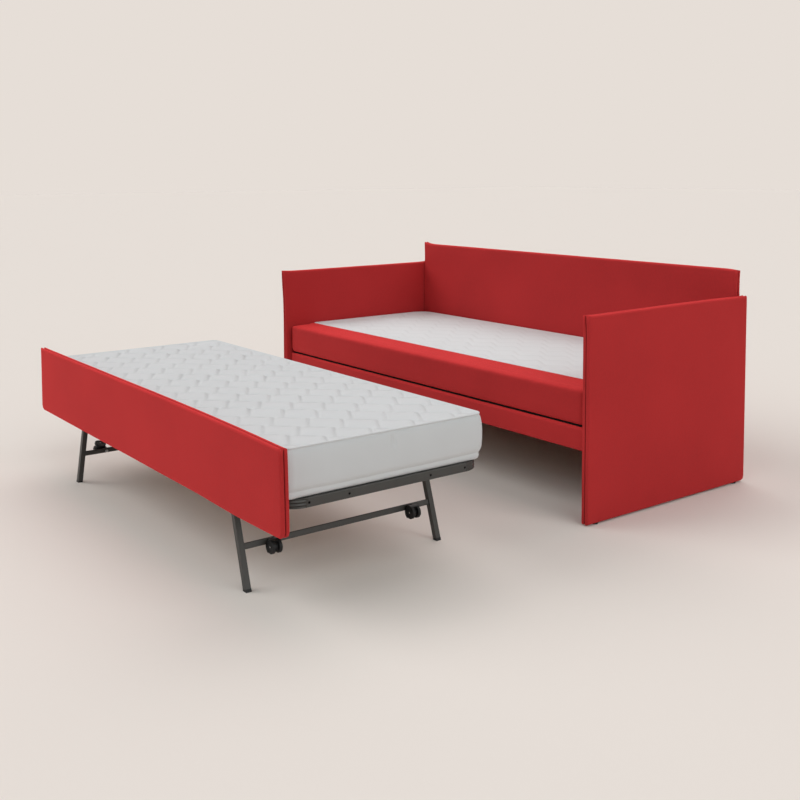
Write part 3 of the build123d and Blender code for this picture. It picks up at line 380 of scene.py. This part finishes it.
class Pad:
    """A closed pad between two faces: a grid on each face, and rings of points round its edge."""

    def __init__(self, a0, a1, b0, b1, inset, step, radii):
        """radii are the outline's corner radii, at (a0, b0), (a1, b0), (a1, b1) and (a0, b1)."""
        self.outline = (a0, a1, b0, b1)
        lo_a, hi_a, lo_b, hi_b = a0 + inset, a1 - inset, b0 + inset, b1 - inset
        self.na = max(4, int(round((hi_a - lo_a) / step)))
        self.nb = max(4, int(round((hi_b - lo_b) / step)))
        u, v = np.meshgrid(np.linspace(lo_a, hi_a, self.na + 1), np.linspace(lo_b, hi_b, self.nb + 1))
        ru, rv = u.copy(), v.copy()
        outward = np.zeros(u.shape + (2,))
        outward[0, :, 1], outward[-1, :, 1] = -1, 1
        outward[:, 0, 0], outward[:, -1, 0] = -1, 1
        corners = ((lo_a, lo_b, -1, -1), (hi_a, lo_b, 1, -1), (hi_a, hi_b, 1, 1), (lo_a, hi_b, -1, 1))
        for (ca, cb, sa, sb), radius in zip(corners, radii):
            r = radius - inset
            if r <= 1e-4:
                continue
            pa, pb = (sa * (u - ca) + r) / r, (sb * (v - cb) + r) / r
            inside = (pa >= 0) & (pb >= 0)
            qa = pa * np.sqrt(np.clip(1 - pb * pb / 2, 0, 1))
            qb = pb * np.sqrt(np.clip(1 - pa * pa / 2, 0, 1))
            ru = np.where(inside, ca - sa * r + sa * r * qa, ru)
            rv = np.where(inside, cb - sb * r + sb * r * qb, rv)
            size = np.maximum(np.hypot(qa, qb), 1e-9)
            outward[..., 0] = np.where(inside, sa * qa / size, outward[..., 0])
            outward[..., 1] = np.where(inside, sb * qb / size, outward[..., 1])
        self.grid = np.stack([ru.ravel(), rv.ravel()], 1)
        na, nb = self.na, self.nb
        rim = [(0, i) for i in range(na + 1)] + [(j, na) for j in range(1, nb + 1)]
        rim += [(nb, i) for i in range(na - 1, -1, -1)] + [(j, 0) for j in range(nb - 1, 0, -1)]
        j, i = np.array(rim).T
        self.rim_number = j * (na + 1) + i
        self.rim_out = outward[j, i]
        self.rim_at = np.stack([ru[j, i], rv[j, i]], 1)
        self.reach = self.rim_at + self.rim_out * inset

    def edge_distance(self):
        """How far each grid point lies inside the outline."""
        a0, a1, b0, b1 = self.outline
        a, b = self.grid.T
        return np.minimum(np.minimum(a - a0, a1 - a), np.minimum(b - b0, b1 - b))

    def build(self, top, rings, low, place):
        """Points and faces of the closed pad.

        top and low are a height for each grid point; without low, one flat face closes the last ring. Each
        ring is a shift of the rim points in the plane, and their heights. place takes points to the room.
        """
        verts = [place(np.column_stack([self.grid, top]))]
        faces = sheet(0, self.na, self.nb)
        start = len(self.grid)
        last = self.rim_number
        for shift, height in rings:
            verts.append(place(np.column_stack([self.rim_at + shift, height])))
            here = start + np.arange(len(last))
            faces += band(last, here)
            start += len(last)
            last = here
        if low is None:
            faces.append(tuple(int(number) for number in last))
            return np.vstack(verts), faces
        verts.append(place(np.column_stack([self.grid, low])))
        faces += band(last, start + self.rim_number)
        faces += sheet(start, self.na, self.nb, turned=True)
        return np.vstack(verts), faces


# Panels: boards in wadding and fabric

PANEL_NOSE = 0.0115
PANEL_STEP = 0.009
# how far a face lies inside the board's line, how much further beside the roll, and how far in that reaches
FACE_SINK = 0.0007
EDGE_SINK = 0.0011
EDGE_SINK_REACH = 0.020
# how far from the roll a face is fully uneven
UNEVEN_REACH = 0.06
TOP_RISE = 0.0015
DRAWN_IN = 0.0005
EAR_REACH = 0.028
TUCK_SOFTNESS = 0.006
# the share of the nose, and of the corners' pull, that the seam's valley keeps
SEAM_VALLEY = 0.30
SEAM_PULL = 0.8
PUCKER = 0.0007
SEAM_PUCKER = 0.0006
RIPPLE = 0.0010

# the edge of a panel from its face to the seam: share of the nose outwards, share of the half thickness
PANEL_EDGE = [(0.27, 0.99), (0.50, 0.95), (0.70, 0.88), (0.85, 0.78), (0.95, 0.655), (1.0, 0.51),
              (1.0, 0.39), (0.965, 0.28), (0.88, 0.18), (0.74, 0.105), (0.56, 0.05)]
# how much painted shade the seam's valley gets on the seam's own ring of points, and on the rings beside it
SEAM_SHADE_MARKS = (1.0, 0.85, 0.25)

# a top corner: how far it stands up, how far its end lies inside the board's line, how far the top of that
# end flares out again, and over what height
Ear = namedtuple("Ear", "lift inside flare height")
# ends that grow longer by reach, from drop below the top
Tuck = namedtuple("Tuck", "drop reach")


def upholstered(name, cover, board, body, plane, radii, ears, seed, step=PANEL_STEP, bend=None, tuck=None):
    """A board panel in wadding and fabric: soft faces that roll to a sewn seam at mid thickness.

    plane is the axis of the panel's thickness. ears are those of its first and its last end. bend gives a
    shift along and up for shares along and up the panel.
    """
    low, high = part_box(cover)
    if plane == "x":
        mid, half, a0, a1 = (low.x + high.x) / 2, (high.x - low.x) / 2, low.y, high.y
    else:
        mid, half, a0, a1 = (low.y + high.y) / 2, (high.y - low.y) / 2, low.x, high.x
    b0, b1 = low.z, high.z
    pad = Pad(a0, a1, b0, b1, PANEL_NOSE, step, radii)

    def place(q):
        along, up = q[:, 0], q[:, 1]
        if bend is not None:
            more_along, more_up = bend((along - a0) / (a1 - a0), np.clip((up - b0) / (b1 - b0), 0, 1))
            along, up = along + more_along, up + more_up
        if plane == "x":
            return np.column_stack([mid + q[:, 2], along, up])
        return np.column_stack([along, mid - q[:, 2], up])

    def face(side):
        near = pad.edge_distance() - PANEL_NOSE
        world = place(np.column_stack([pad.grid, np.full(len(near), side * half)]))
        depth = half - EDGE_SINK * np.exp(-near / EDGE_SINK_REACH) - FACE_SINK
        uneven = 0.0007 * hum(world, 4.5, seed) + 0.0004 * hum(world, 14.0, seed + 1)
        return side * np.minimum(depth + np.clip(near / UNEVEN_REACH, 0, 1) * uneven, half)

    reach, count = pad.reach, len(pad.reach)
    world = place(np.column_stack([reach, np.zeros(count)]))
    pucker = hum(world, 26.0, seed + 3)
    slow = hum(world, 6.0, seed + 5)
    on_top = pad.rim_out[:, 1] > 0.9
    below_top = b1 - reach[:, 1]
    draw = np.zeros_like(reach)
    draw[:, 1] += np.where(on_top, TOP_RISE, 0)
    for ear, from_end, out in zip(ears, (reach[:, 0] - a0, a1 - reach[:, 0]), (-1, 1)):
        draw[:, 1] += np.where(on_top, ear.lift * np.exp(-(np.abs(from_end) / EAR_REACH) ** 1.2), 0)
        on_end = pad.rim_out[:, 0] * out > 0.9
        flare = ear.flare * np.exp(-(np.abs(below_top) / ear.height) ** 2)
        draw[:, 0] += np.where(on_end, out * (flare - ear.inside), 0)
        if tuck is not None:
            longer = tuck.reach * (0.5 + 0.5 * np.tanh((below_top - tuck.drop) / TUCK_SOFTNESS))
            draw[:, 0] += np.where(on_end, out * longer, 0)
    draw -= pad.rim_out * (DRAWN_IN * (1 + slow))[:, None]

    def roll(side):
        rings = []
        for out, deep in PANEL_EDGE[::side]:
            pulled = PANEL_NOSE * out - PUCKER * np.maximum(side * pucker, 0) * (1 - deep)
            depth = side * (half - EDGE_SINK - FACE_SINK) + RIPPLE * pucker * (1 - deep)
            rings.append((pad.rim_out * pulled[:, None] + draw * out ** 2, depth * deep))
        return rings

    valley = pad.rim_out * (PANEL_NOSE * SEAM_VALLEY - SEAM_PUCKER * pucker)[:, None] + draw * SEAM_PULL
    rings = roll(1) + [(valley, np.zeros(count))] + roll(-1)
    verts, faces = pad.build(face(1), rings, face(-1), place)
    # marks for painted shade in the seam's valley, on the seam's ring and on the rings beside it
    marks = np.zeros(len(verts))
    for away, value in enumerate(SEAM_SHADE_MARKS):
        for ring in (len(PANEL_EDGE) - away, len(PANEL_EDGE) + away):
            start = len(pad.grid) + ring * count
            marks[start:start + count] = value
    return make_piece(name, verts, faces, body, "red_fabric", [cover, board], marks)


def hump(s, start):
    """One smooth rise and fall between the share start and the end of a panel."""
    return np.sin(math.pi * np.clip((s - start) / (1 - start), 0, 1))


def right_side_dip(s, t):
    """The right side panel's top edge falls towards its front and its back end."""
    front_drop, back_drop = 0.0070, 0.0060
    return 0.0, -t * (front_drop * np.clip(1 - s, 0, 1) ** 1.3 + back_drop * s ** 6)


def bed_panel_lean(s, t):
    """The bed's front panel: its far end is a little taller, its near end hangs and is drawn in above."""
    far_top, near_top, far_foot, near_foot, near_in = 0.006, -0.0105, -0.004, -0.009, 0.0085
    top_bow, foot_sag = 0.0012, 0.0045
    top = far_top * (1 - s) + near_top * s ** 5 + top_bow * hump(s, 0.40)
    foot = far_foot * (1 - s) + near_foot * s - foot_sag * hump(s, 0.74)
    return -near_in * t ** 1.5 * np.clip((s - 0.9) / 0.1, 0, 1), t * top + (1 - t) * foot


# corner radii, from the low first corner round
SIDE_RADII = (0.010, 0.020, 0.004, 0.004)
BACK_RADII = (0.014, 0.014, 0.004, 0.004)
RAIL_RADII = (0.006,) * 4
BED_PANEL_RADII = (0.018, 0.022, 0.008, 0.010)

LEFT_EARS = (Ear(0.0034, 0.0006, 0.0104, 0.125), Ear(0.0040, 0.0040, 0.0020, 0.05))
RIGHT_EARS = (Ear(0.0030, 0.0045, 0.0060, 0.045), Ear(0.0035, 0.0036, 0.0006, 0.05))
BACK_EARS = (Ear(0.0100, 0.0020, 0.0035, 0.04), Ear(-0.0045, 0.0010, 0.0030, 0.03))
BED_PANEL_EARS = (Ear(0.0010, -0.0092, 0.0030, 0.05), Ear(0.0015, 0.0005, 0.0, 0.05))
RAIL_EARS = (Ear(0, 0, 0, 1),) * 2

upholstered("left_side_panel", "left_side_cover", "left_side_board", "sofa", "x", SIDE_RADII, LEFT_EARS, 2)
upholstered("right_side_panel", "right_side_cover", "right_side_board", "sofa", "x", SIDE_RADII, RIGHT_EARS,
            9, bend=right_side_dip)
upholstered("back_panel", "back_cover", "back_board", "sofa", "y", BACK_RADII, BACK_EARS, 17, step=0.011,
            tuck=Tuck(0.112, 0.0045))
upholstered("front_rail", "front_rail_cover", "front_rail_board", "sofa", "y", RAIL_RADII, RAIL_EARS, 23)
upholstered("bed_front_panel", "bed_panel_cover", "bed_panel_board", "pull_out_bed", "y", BED_PANEL_RADII,
            BED_PANEL_EARS, 31, bend=bed_panel_lean)


# Mattresses

MATTRESS_STEP = 0.0044
MATTRESS_UNDERSIDE_GAP = 0.0001
MATTRESS_TOP_GAP = 0.0012
# a gable's width, the way from row to row, a gable's height, and the share of its width that climbs
QUILT_PITCH = 0.154
QUILT_RISE = 0.084
GABLE_HEIGHT = 0.060
GABLE_LEAD = 0.36
# the plain strip between the quilting and the border, and the rim's level as a share of the quilting's depth
PLAIN_STRIP = 0.022
RIM_LEVEL = 0.62
# how far from a corner the border is fuller, and the pressed place of the bed mattress's near end
CORNER_REACH = 0.12
DENT_DEPTH = 0.0080
DENT_WIDTH = 0.006

# a mattress border, from the top edge down: share of the nose outwards, share of the height
BED_UPPER_PIPING = [(0.12, -0.007), (0.26, -0.004), (0.32, 0.004), (0.30, 0.014), (0.20, 0.024),
                    (0.13, 0.032)]
BED_BELLY = [(0.22, 0.046), (0.40, 0.07), (0.58, 0.11), (0.74, 0.17), (0.87, 0.24), (0.96, 0.32),
             (1.0, 0.40), (1.0, 0.48), (0.97, 0.56), (0.92, 0.64), (0.84, 0.71), (0.70, 0.765),
             (0.46, 0.81), (0.22, 0.84)]
BED_LOWER_PIPING = [(0.10, 0.856), (0.10, 0.87), (0.14, 0.89), (0.15, 0.92), (0.08, 0.95), (-0.08, 0.978),
                    (-0.3, 0.994)]
BED_WALL = BED_UPPER_PIPING + BED_BELLY + BED_LOWER_PIPING
SOFA_WALL = [(0.30, -0.002), (0.55, 0.006), (0.76, 0.022), (0.90, 0.045), (0.97, 0.075), (1.0, 0.12),
             (1.0, 0.25), (1.0, 0.5), (1.0, 0.75), (0.95, 0.90), (0.7, 0.97), (0.3, 0.992)]


def gables(x, y, first):
    """Quilting in rows of gables: each point's distance from the stitch line below it and from the one above
    it, how far the line above it is on its climbing side, and how high up its gable that line has come."""
    below = np.full(x.shape, 9.0)
    above = np.full(x.shape, 9.0)
    climbing, height = np.zeros(x.shape), np.zeros(x.shape)
    k = np.floor((y - first[1]) / QUILT_RISE)
    for ahead in (-2, -1, 0, 1):
        row = k + ahead
        t = np.mod((x - first[0]) / QUILT_PITCH - np.mod(row, 2) / 2, 1)
        climb, fall = t / GABLE_LEAD, (1 - t) / (1 - GABLE_LEAD)
        ridge = 0.5 * (climb + fall - np.sqrt((climb - fall) ** 2 + 0.012))
        gap = y - first[1] - row * QUILT_RISE - GABLE_HEIGHT * np.maximum(ridge, 0)
        side = 1 / (1 + np.exp(np.clip((climb - fall) / 0.10, -30, 30)))
        flat = gap * (0.87 - 0.18 * side)
        below = np.where((gap >= 0) & (flat < below), flat, below)
        nearer = (gap < 0) & (-flat < above)
        above = np.where(nearer, -flat, above)
        climbing = np.where(nearer, side, climbing)
        height = np.where(nearer, np.clip(ridge, 0, 1), height)
    return below, above, climbing, height


def quilting(local, first, seed):
    """For points of a mattress top: how far the filling puffs up, and how much painted shade lies along each
    stitch line.
    """
    x = local[:, 0] + 0.005 * hum(local, 8.0, seed)
    y = local[:, 1] + 0.004 * hum(local, 8.0, seed + 1)
    below, above, climbing, height = gables(x, y, first)
    swell = (0.22 + 0.78 * (below / (below + above)) ** 0.7) * (0.62 + 0.38 * height)
    from_above = 1 - np.exp(-(above / (0.0085 + 0.0145 * climbing)) ** 1.6)
    from_below = 1 - np.exp(-(below / 0.0065) ** 1.5)
    uneven = np.clip(1 + 0.55 * hum(local, 7.0, seed + 2), 0.55, 1.3) / 1.3
    # Painted shade along the quilting: a broad band where each fold falls to the stitch line above it,
    # stronger near a gable's ridge and on the climbing arms, and a thin darker line just past each stitch
    # line. A smooth noise makes its strength patchy.
    shade_patchiness = np.clip(0.95 + 0.75 * hum(local, 9.0, seed + 11) + 0.35 * hum(local, 30.0, seed + 12), 0.25, 1.5)
    crown = (0.38 + 0.62 * np.clip(height * 1.15, 0, 1)) * (1 + 0.45 * climbing)
    fold = crown * np.exp(-(above / (0.0066 + 0.0105 * climbing)) ** 1.15)
    quilt_shade = shade_patchiness * np.maximum(0.35 * np.exp(-(below / 0.0026) ** 2), fold)
    return swell * from_above * from_below * uneven, quilt_shade


def mattress(name, node, body, seed, wall, nose, corners, first, depth, lumps, quilt_shade_strength, painted_light=0.0, dent=None):
    """A quilted top, and a border built from rings of points round its edge.

    first is where a gable of the quilting starts, from the mattress's middle. depth is how far the quilting
    puffs, lumps how uneven the top is, quilt_shade_strength how strong the painted shade along the quilting
    is, and dent the Y place where the near end is pressed in.
    """
    low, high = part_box(node)
    x0, x1, y0, y1, z0, z1 = low.x, high.x, low.y, high.y, low.z, high.z
    pad = Pad(x0, x1, y0, y1, nose, MATTRESS_STEP, corners)
    local = np.column_stack([pad.grid[:, 0] - (x0 + x1) / 2, pad.grid[:, 1] - (y0 + y1) / 2,
                             np.zeros(len(pad.grid))])
    puff, quilt_shade = quilting(local, first, seed)
    fade = np.clip((pad.edge_distance() - nose) / PLAIN_STRIP, 0, 1)
    fade = fade * fade * (3 - 2 * fade)
    crest = z1 - MATTRESS_TOP_GAP - depth
    rim_top = crest + RIM_LEVEL * depth
    top = crest + RIM_LEVEL * depth * (1 - fade) + depth * fade * puff
    top = np.minimum(top + lumps * hum(local, 3.0, seed + 4) * fade, z1)

    reach, count = pad.reach, len(pad.reach)
    world = np.column_stack([reach, np.zeros(count)])
    slow = hum(world, 5.0, seed + 6)
    fast = hum(world, 20.0, seed + 8)
    to_corner = np.hypot(np.minimum(reach[:, 0] - x0, x1 - reach[:, 0]),
                         np.minimum(reach[:, 1] - y0, y1 - reach[:, 1]))
    fuller = 0.62 + 0.26 * np.exp(-(to_corner / CORNER_REACH) ** 2)
    tall = rim_top - z0
    underside = z0 + MATTRESS_UNDERSIDE_GAP
    rings = []
    for out, share in wall:
        swollen = math.sin(math.pi * min(max(share, 0), 1))
        give = 0.3 + (out - 0.3) * fuller if out > 0.3 else np.full(count, out)
        give = nose * give + (0.0013 * slow + 0.0005 * fast) * swollen
        wander = 0.0022 * slow + 0.0010 * fast if 0.75 < share < 0.97 else 0.0012 * slow * swollen
        if dent is not None and 0.05 < share < 0.7:
            pressed = (pad.rim_out[:, 0] > 0.9) * np.exp(-((reach[:, 1] - dent) / DENT_WIDTH) ** 2)
            give = give - DENT_DEPTH * pressed * math.exp(-((share - 0.22) / 0.12) ** 2)
        rings.append((pad.rim_out * give[:, None], np.maximum(rim_top - tall * share - wander, underside)))
    rings.append((pad.rim_out * (-0.4 * nose), np.full(count, underside)))
    verts, faces = pad.build(top, rings, None, lambda w: w)
    # marks for painted shade along the quilting
    marks = np.zeros(len(verts))
    marks[:len(quilt_shade)] = quilt_shade_strength * quilt_shade * fade
    return make_piece(name, verts, faces, body, "mattress_ticking", [node], marks, painted_light)


# painted light whitens the sofa's mattress, standing in for light that the side and back panels keep off it
mattress("sofa_mattress", "main_mattress", "sofa", 41, SOFA_WALL, 0.009, (0.022, 0.03, 0.05, 0.09),
         first=(0.05, -0.03), depth=0.0036, lumps=0.0008, quilt_shade_strength=0.38, painted_light=1.0)
mattress("pull_out_mattress", "bed_mattress", "pull_out_bed", 53, BED_WALL, 0.015, (0.044,) * 4,
         first=(0.733, 0.005), depth=0.0108, lumps=0.0010, quilt_shade_strength=1.0, dent=-0.701)


# Bolster

BOLSTER_NOSE = 0.016
BOLSTER_STEP = 0.008
BOLSTER_CORNER = 0.018
BOLSTER_UNDERSIDE_GAP = 0.0002
BOLSTER_RIM_DROP = 0.0050
BOLSTER_CROWN = 0.0042
BOLSTER_SLOPE = 0.0053
BOLSTER_BACK_RISE = 0.0095
BOLSTER_SAG = 0.0050
BOLSTER_GATHER = 0.0028
# its wall, from the top edge down: share of the nose outwards, share of the height
BOLSTER_WALL = [(0.34, 0.004), (0.62, 0.018), (0.84, 0.045), (0.96, 0.085), (1.0, 0.14), (0.985, 0.24),
                (0.97, 0.36), (0.965, 0.48), (0.97, 0.60), (0.985, 0.70), (0.99, 0.78), (0.95, 0.855),
                (0.86, 0.915), (0.70, 0.96), (0.46, 0.992)]


def bolster():
    """The soft bar in front of the sofa's mattress: higher at its back, gathered along its front edge."""
    low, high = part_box("bolster")
    x0, x1, y0, y1, z0, z1 = low.x, high.x, low.y, high.y, low.z, high.z
    pad = Pad(x0, x1, y0, y1, BOLSTER_NOSE, BOLSTER_STEP, (BOLSTER_CORNER,) * 4)
    x, y = pad.grid.T
    wide = np.clip((y - y0) / (y1 - y0), 0, 1)
    near_end = np.minimum(x - x0, x1 - x)
    rim_top = z1 - BOLSTER_RIM_DROP
    dome = np.minimum(1, wide / 0.35) ** 0.6 * np.clip(near_end / 0.04, 0.3, 1)
    uneven = 0.0008 * hum(np.column_stack([pad.grid, np.full(len(x), z1)]), 9.0, 61)
    top = rim_top + (BOLSTER_CROWN + BOLSTER_SLOPE * wide) * dome + uneven

    rim_world = np.column_stack([pad.rim_at, np.zeros(len(pad.rim_at))])
    fast = hum(rim_world, 30.0, 63)
    slow = hum(rim_world, 8.0, 64)
    front = np.clip(-pad.rim_out[:, 1], 0, 1)
    back = np.clip(pad.rim_out[:, 1], 0, 1)
    rim_high = rim_top + BOLSTER_BACK_RISE * back
    soft = np.where(np.abs(pad.rim_out[:, 0]) > 0.9, 0.55, 1.0) * np.where(back > 0.9, 0.4, 1.0)
    rings = []
    for out, share in BOLSTER_WALL:
        pull = math.exp(-((share - 0.07) / 0.06) ** 2)
        gathered = BOLSTER_GATHER * pull * np.abs(fast) * (1 - back)
        shift = BOLSTER_NOSE * (1 - soft + soft * out) - gathered + 0.0008 * slow * front
        sag = BOLSTER_SAG * front * max(0, (share - 0.75) / 0.25)
        level = rim_high - (rim_high - z0) * share - sag + 0.0012 * fast * pull * (1 - back)
        rings.append((pad.rim_out * shift[:, None], level))
    underside = np.full(len(x), z0 + BOLSTER_UNDERSIDE_GAP)
    verts, faces = pad.build(top, rings, underside, lambda w: w)
    return make_piece("front_bolster", verts, faces, "sofa", "red_fabric", ["bolster"])


bolster()


# Bent corners of the bed frame

BEND_RADIUS = 0.080
BEND_STEPS = 32
TUBE_CORNER = 0.0026
FLUTES = 3
FLUTE_DEPTH = 0.0042
# the angle over which the flutes come in and go out
FLUTE_EASE = math.radians(20)


def tube_section(half):
    """The square tube's outline: out from the bend's middle line, up, and which wall it is on.

    Wall 1 is the outer one, wall 2 the inner one and 0 any other.
    """
    flat = half - TUBE_CORNER
    steps = np.linspace(-flat, flat, 19)
    curl = [(TUBE_CORNER * math.cos(a), TUBE_CORNER * math.sin(a)) for a in np.radians([18, 36, 54, 72])]
    section = [(half, t, 1) for t in steps]
    section += [(flat + c, flat + s, 0) for c, s in curl]
    section += [(-t, half, 0) for t in steps[::3]]
    section += [(-flat - s, flat + c, 0) for c, s in curl]
    section += [(-half, -t, 2) for t in steps]
    section += [(-flat - c, -flat - s, 0) for c, s in curl]
    section += [(t, -half, 0) for t in steps[::3]]
    section += [(flat + s, -flat - c, 0) for c, s in curl]
    return section


def frame_bends():
    """The square tube's four bends, with the crimped flutes that bending leaves along their walls."""
    low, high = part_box("bed_corners")
    tube = high.z - low.z
    half, mid_z = tube / 2, (low.z + high.z) / 2
    section = tube_section(half)
    n = len(section)
    verts, faces = [], []
    for sx, sy in ((1, 1), (1, -1), (-1, -1), (-1, 1)):
        cx = (high.x - BEND_RADIUS) if sx > 0 else (low.x + BEND_RADIUS)
        cy = (high.y - BEND_RADIUS) if sy > 0 else (low.y + BEND_RADIUS)
        start = len(verts)
        for turn in np.linspace(0, math.pi / 2, BEND_STEPS + 1):
            from_end = min(turn, math.pi / 2 - turn, FLUTE_EASE)
            ease = math.sin(from_end / FLUTE_EASE * math.pi / 2)
            for out, z, wall in section:
                flute = 0.5 - 0.5 * math.cos(2 * math.pi * FLUTES * (z + half) / tube)
                uneven = 0.8 + 0.3 * noise.noise(Vector((turn * 5, z * 90, sx + 2 * sy)))
                dip = FLUTE_DEPTH * ease * flute * uneven
                r = BEND_RADIUS - half + out + {0: 0.0, 1: -dip, 2: 0.7 * dip}[wall]
                verts.append((cx + sx * r * math.cos(turn), cy + sy * r * math.sin(turn), mid_z + z))
        for k in range(BEND_STEPS):
            for i in range(n):
                a, b = start + k * n + i, start + k * n + (i + 1) % n
                faces.append((a, b, b + n, a + n))
        faces.append(tuple(range(start, start + n)))
        faces.append(tuple(range(start + BEND_STEPS * n, start + (BEND_STEPS + 1) * n)))
    return make_piece("frame_bends", verts, faces, "pull_out_bed", "frame_steel", ["bed_corners"])


frame_bends()


# Floor and background

FLOOR_COLOUR = (0.7761, 0.6994, 0.6484, 1.0)
BACKDROP_COLOUR = srgb(230, 222, 215)
AMBIENT_COLOUR = (0.985, 0.99, 1.0, 1.0)
AMBIENT_STRENGTH = 0.03


def pale_floor():
    """A wide plain floor."""
    mesh = bpy.data.meshes.new("floor")
    bm = bmesh.new()
    bmesh.ops.create_grid(bm, x_segments=8, y_segments=8, size=60)
    bm.to_mesh(mesh)
    bm.free()
    floor = bpy.data.objects.new("floor", mesh)
    scene.collection.objects.link(floor)
    p = Paint("pale_floor")
    p.set(Roughness=1.0, Specular_IOR_Level=0.0)
    p.shader.inputs["Base Color"].default_value = FLOOR_COLOUR
    mesh.materials.append(p.mat)


def studio_world():
    """A pale background for what the camera sees, straight or in a gloss, and a faint light for the rest."""
    world = bpy.data.worlds.new("studio")
    scene.world = world
    world.use_nodes = True
    tree = world.node_tree
    tree.nodes.clear()

    def background(colour, strength):
        made = tree.nodes.new("ShaderNodeBackground")
        made.inputs["Color"].default_value = colour
        made.inputs["Strength"].default_value = strength
        return made.outputs[0]

    def larger(a, b):
        made = tree.nodes.new("ShaderNodeMath")
        made.operation = "MAXIMUM"
        tree.links.new(a, made.inputs[0])
        tree.links.new(b, made.inputs[1])
        return made.outputs[0]

    path = tree.nodes.new("ShaderNodeLightPath").outputs
    shown = larger(larger(path["Is Camera Ray"], path["Is Glossy Ray"]), path["Is Transmission Ray"])
    mix = tree.nodes.new("ShaderNodeMixShader")
    out = tree.nodes.new("ShaderNodeOutputWorld")
    tree.links.new(shown, mix.inputs[0])
    tree.links.new(background(AMBIENT_COLOUR, AMBIENT_STRENGTH), mix.inputs[1])
    tree.links.new(background(BACKDROP_COLOUR, 1.0), mix.inputs[2])
    tree.links.new(mix.outputs[0], out.inputs["Surface"])


pale_floor()
studio_world()


# Lights

def softbox(name, heading, height, strength, spread, colour=(1, 1, 1)):
    """A broad light. It shines along a heading, clockwise from Y, and down by an angle, height.

    heading, height and spread are in degrees.
    """
    data = bpy.data.lights.new(name, "SUN")
    data.energy = strength
    data.angle = math.radians(spread)
    data.color = colour
    level, fall = math.cos(math.radians(height)), math.sin(math.radians(height))
    turned = math.radians(heading)
    ob = bpy.data.objects.new(name, data)
    ob.rotation_mode = "QUATERNION"
    shines = Vector((level * math.sin(turned), level * math.cos(turned), -fall))
    ob.rotation_quaternion = shines.to_track_quat("-Z", "Y")
    scene.collection.objects.link(ob)


softbox("key_softbox", 45, 35, 1.12, 40)
softbox("top_softbox", 150, 62, 0.94, 60, (1.0, 0.96, 0.95))
softbox("front_softbox", 0, 35, 0.87, 60, (0.85, 0.98, 1.0))
softbox("right_softbox", 270, 35, 1.62, 60, (0.91, 0.99, 1.0))
softbox("left_softbox", 135, 35, 0.64, 60, (1.0, 0.92, 0.93))

scene.view_settings.view_transform = "Standard"


# Camera, fitted to the photograph

PICTURE_PIXELS = 800
FOCAL_PIXELS = 1038.656
CENTRE_ACROSS_PIXELS = 354.940
CENTRE_DOWN_PIXELS = 241.096
YAW, PITCH, ROLL = 0.95074, -0.0664, -0.00477
# the eye, from the middle of the sofa's front edge on the floor
EYE_ASIDE, EYE_BACK, EYE_HEIGHT = 3.57337, 2.83276, 1.29575
SENSOR_MM = 36


def photo_camera():
    """The camera at the photograph's viewpoint."""
    left_low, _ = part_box("left_side_cover")
    _, right_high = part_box("right_side_cover")
    eye = Vector((EYE_ASIDE + (left_low.x + right_high.x) / 2, left_low.y - EYE_BACK, EYE_HEIGHT))
    ahead = Vector((-math.sin(YAW) * math.cos(PITCH), math.cos(YAW) * math.cos(PITCH), math.sin(PITCH)))
    right = Vector((math.cos(YAW), math.sin(YAW), 0.0))
    up = right.cross(ahead)
    across = math.cos(ROLL) * right + math.sin(ROLL) * up
    rise = -math.sin(ROLL) * right + math.cos(ROLL) * up
    data = bpy.data.cameras.new("camera")
    data.sensor_width = SENSOR_MM
    data.sensor_fit = "HORIZONTAL"
    data.lens = FOCAL_PIXELS / PICTURE_PIXELS * SENSOR_MM
    data.shift_x = 0.5 - CENTRE_ACROSS_PIXELS / PICTURE_PIXELS
    data.shift_y = CENTRE_DOWN_PIXELS / PICTURE_PIXELS - 0.5
    data.clip_start, data.clip_end = 0.05, 200
    camera = bpy.data.objects.new("camera", data)
    scene.collection.objects.link(camera)
    turned = Matrix((across, rise, -ahead)).transposed().to_4x4()
    camera.matrix_world = Matrix.Translation(eye) @ turned
    scene.camera = camera


photo_camera()
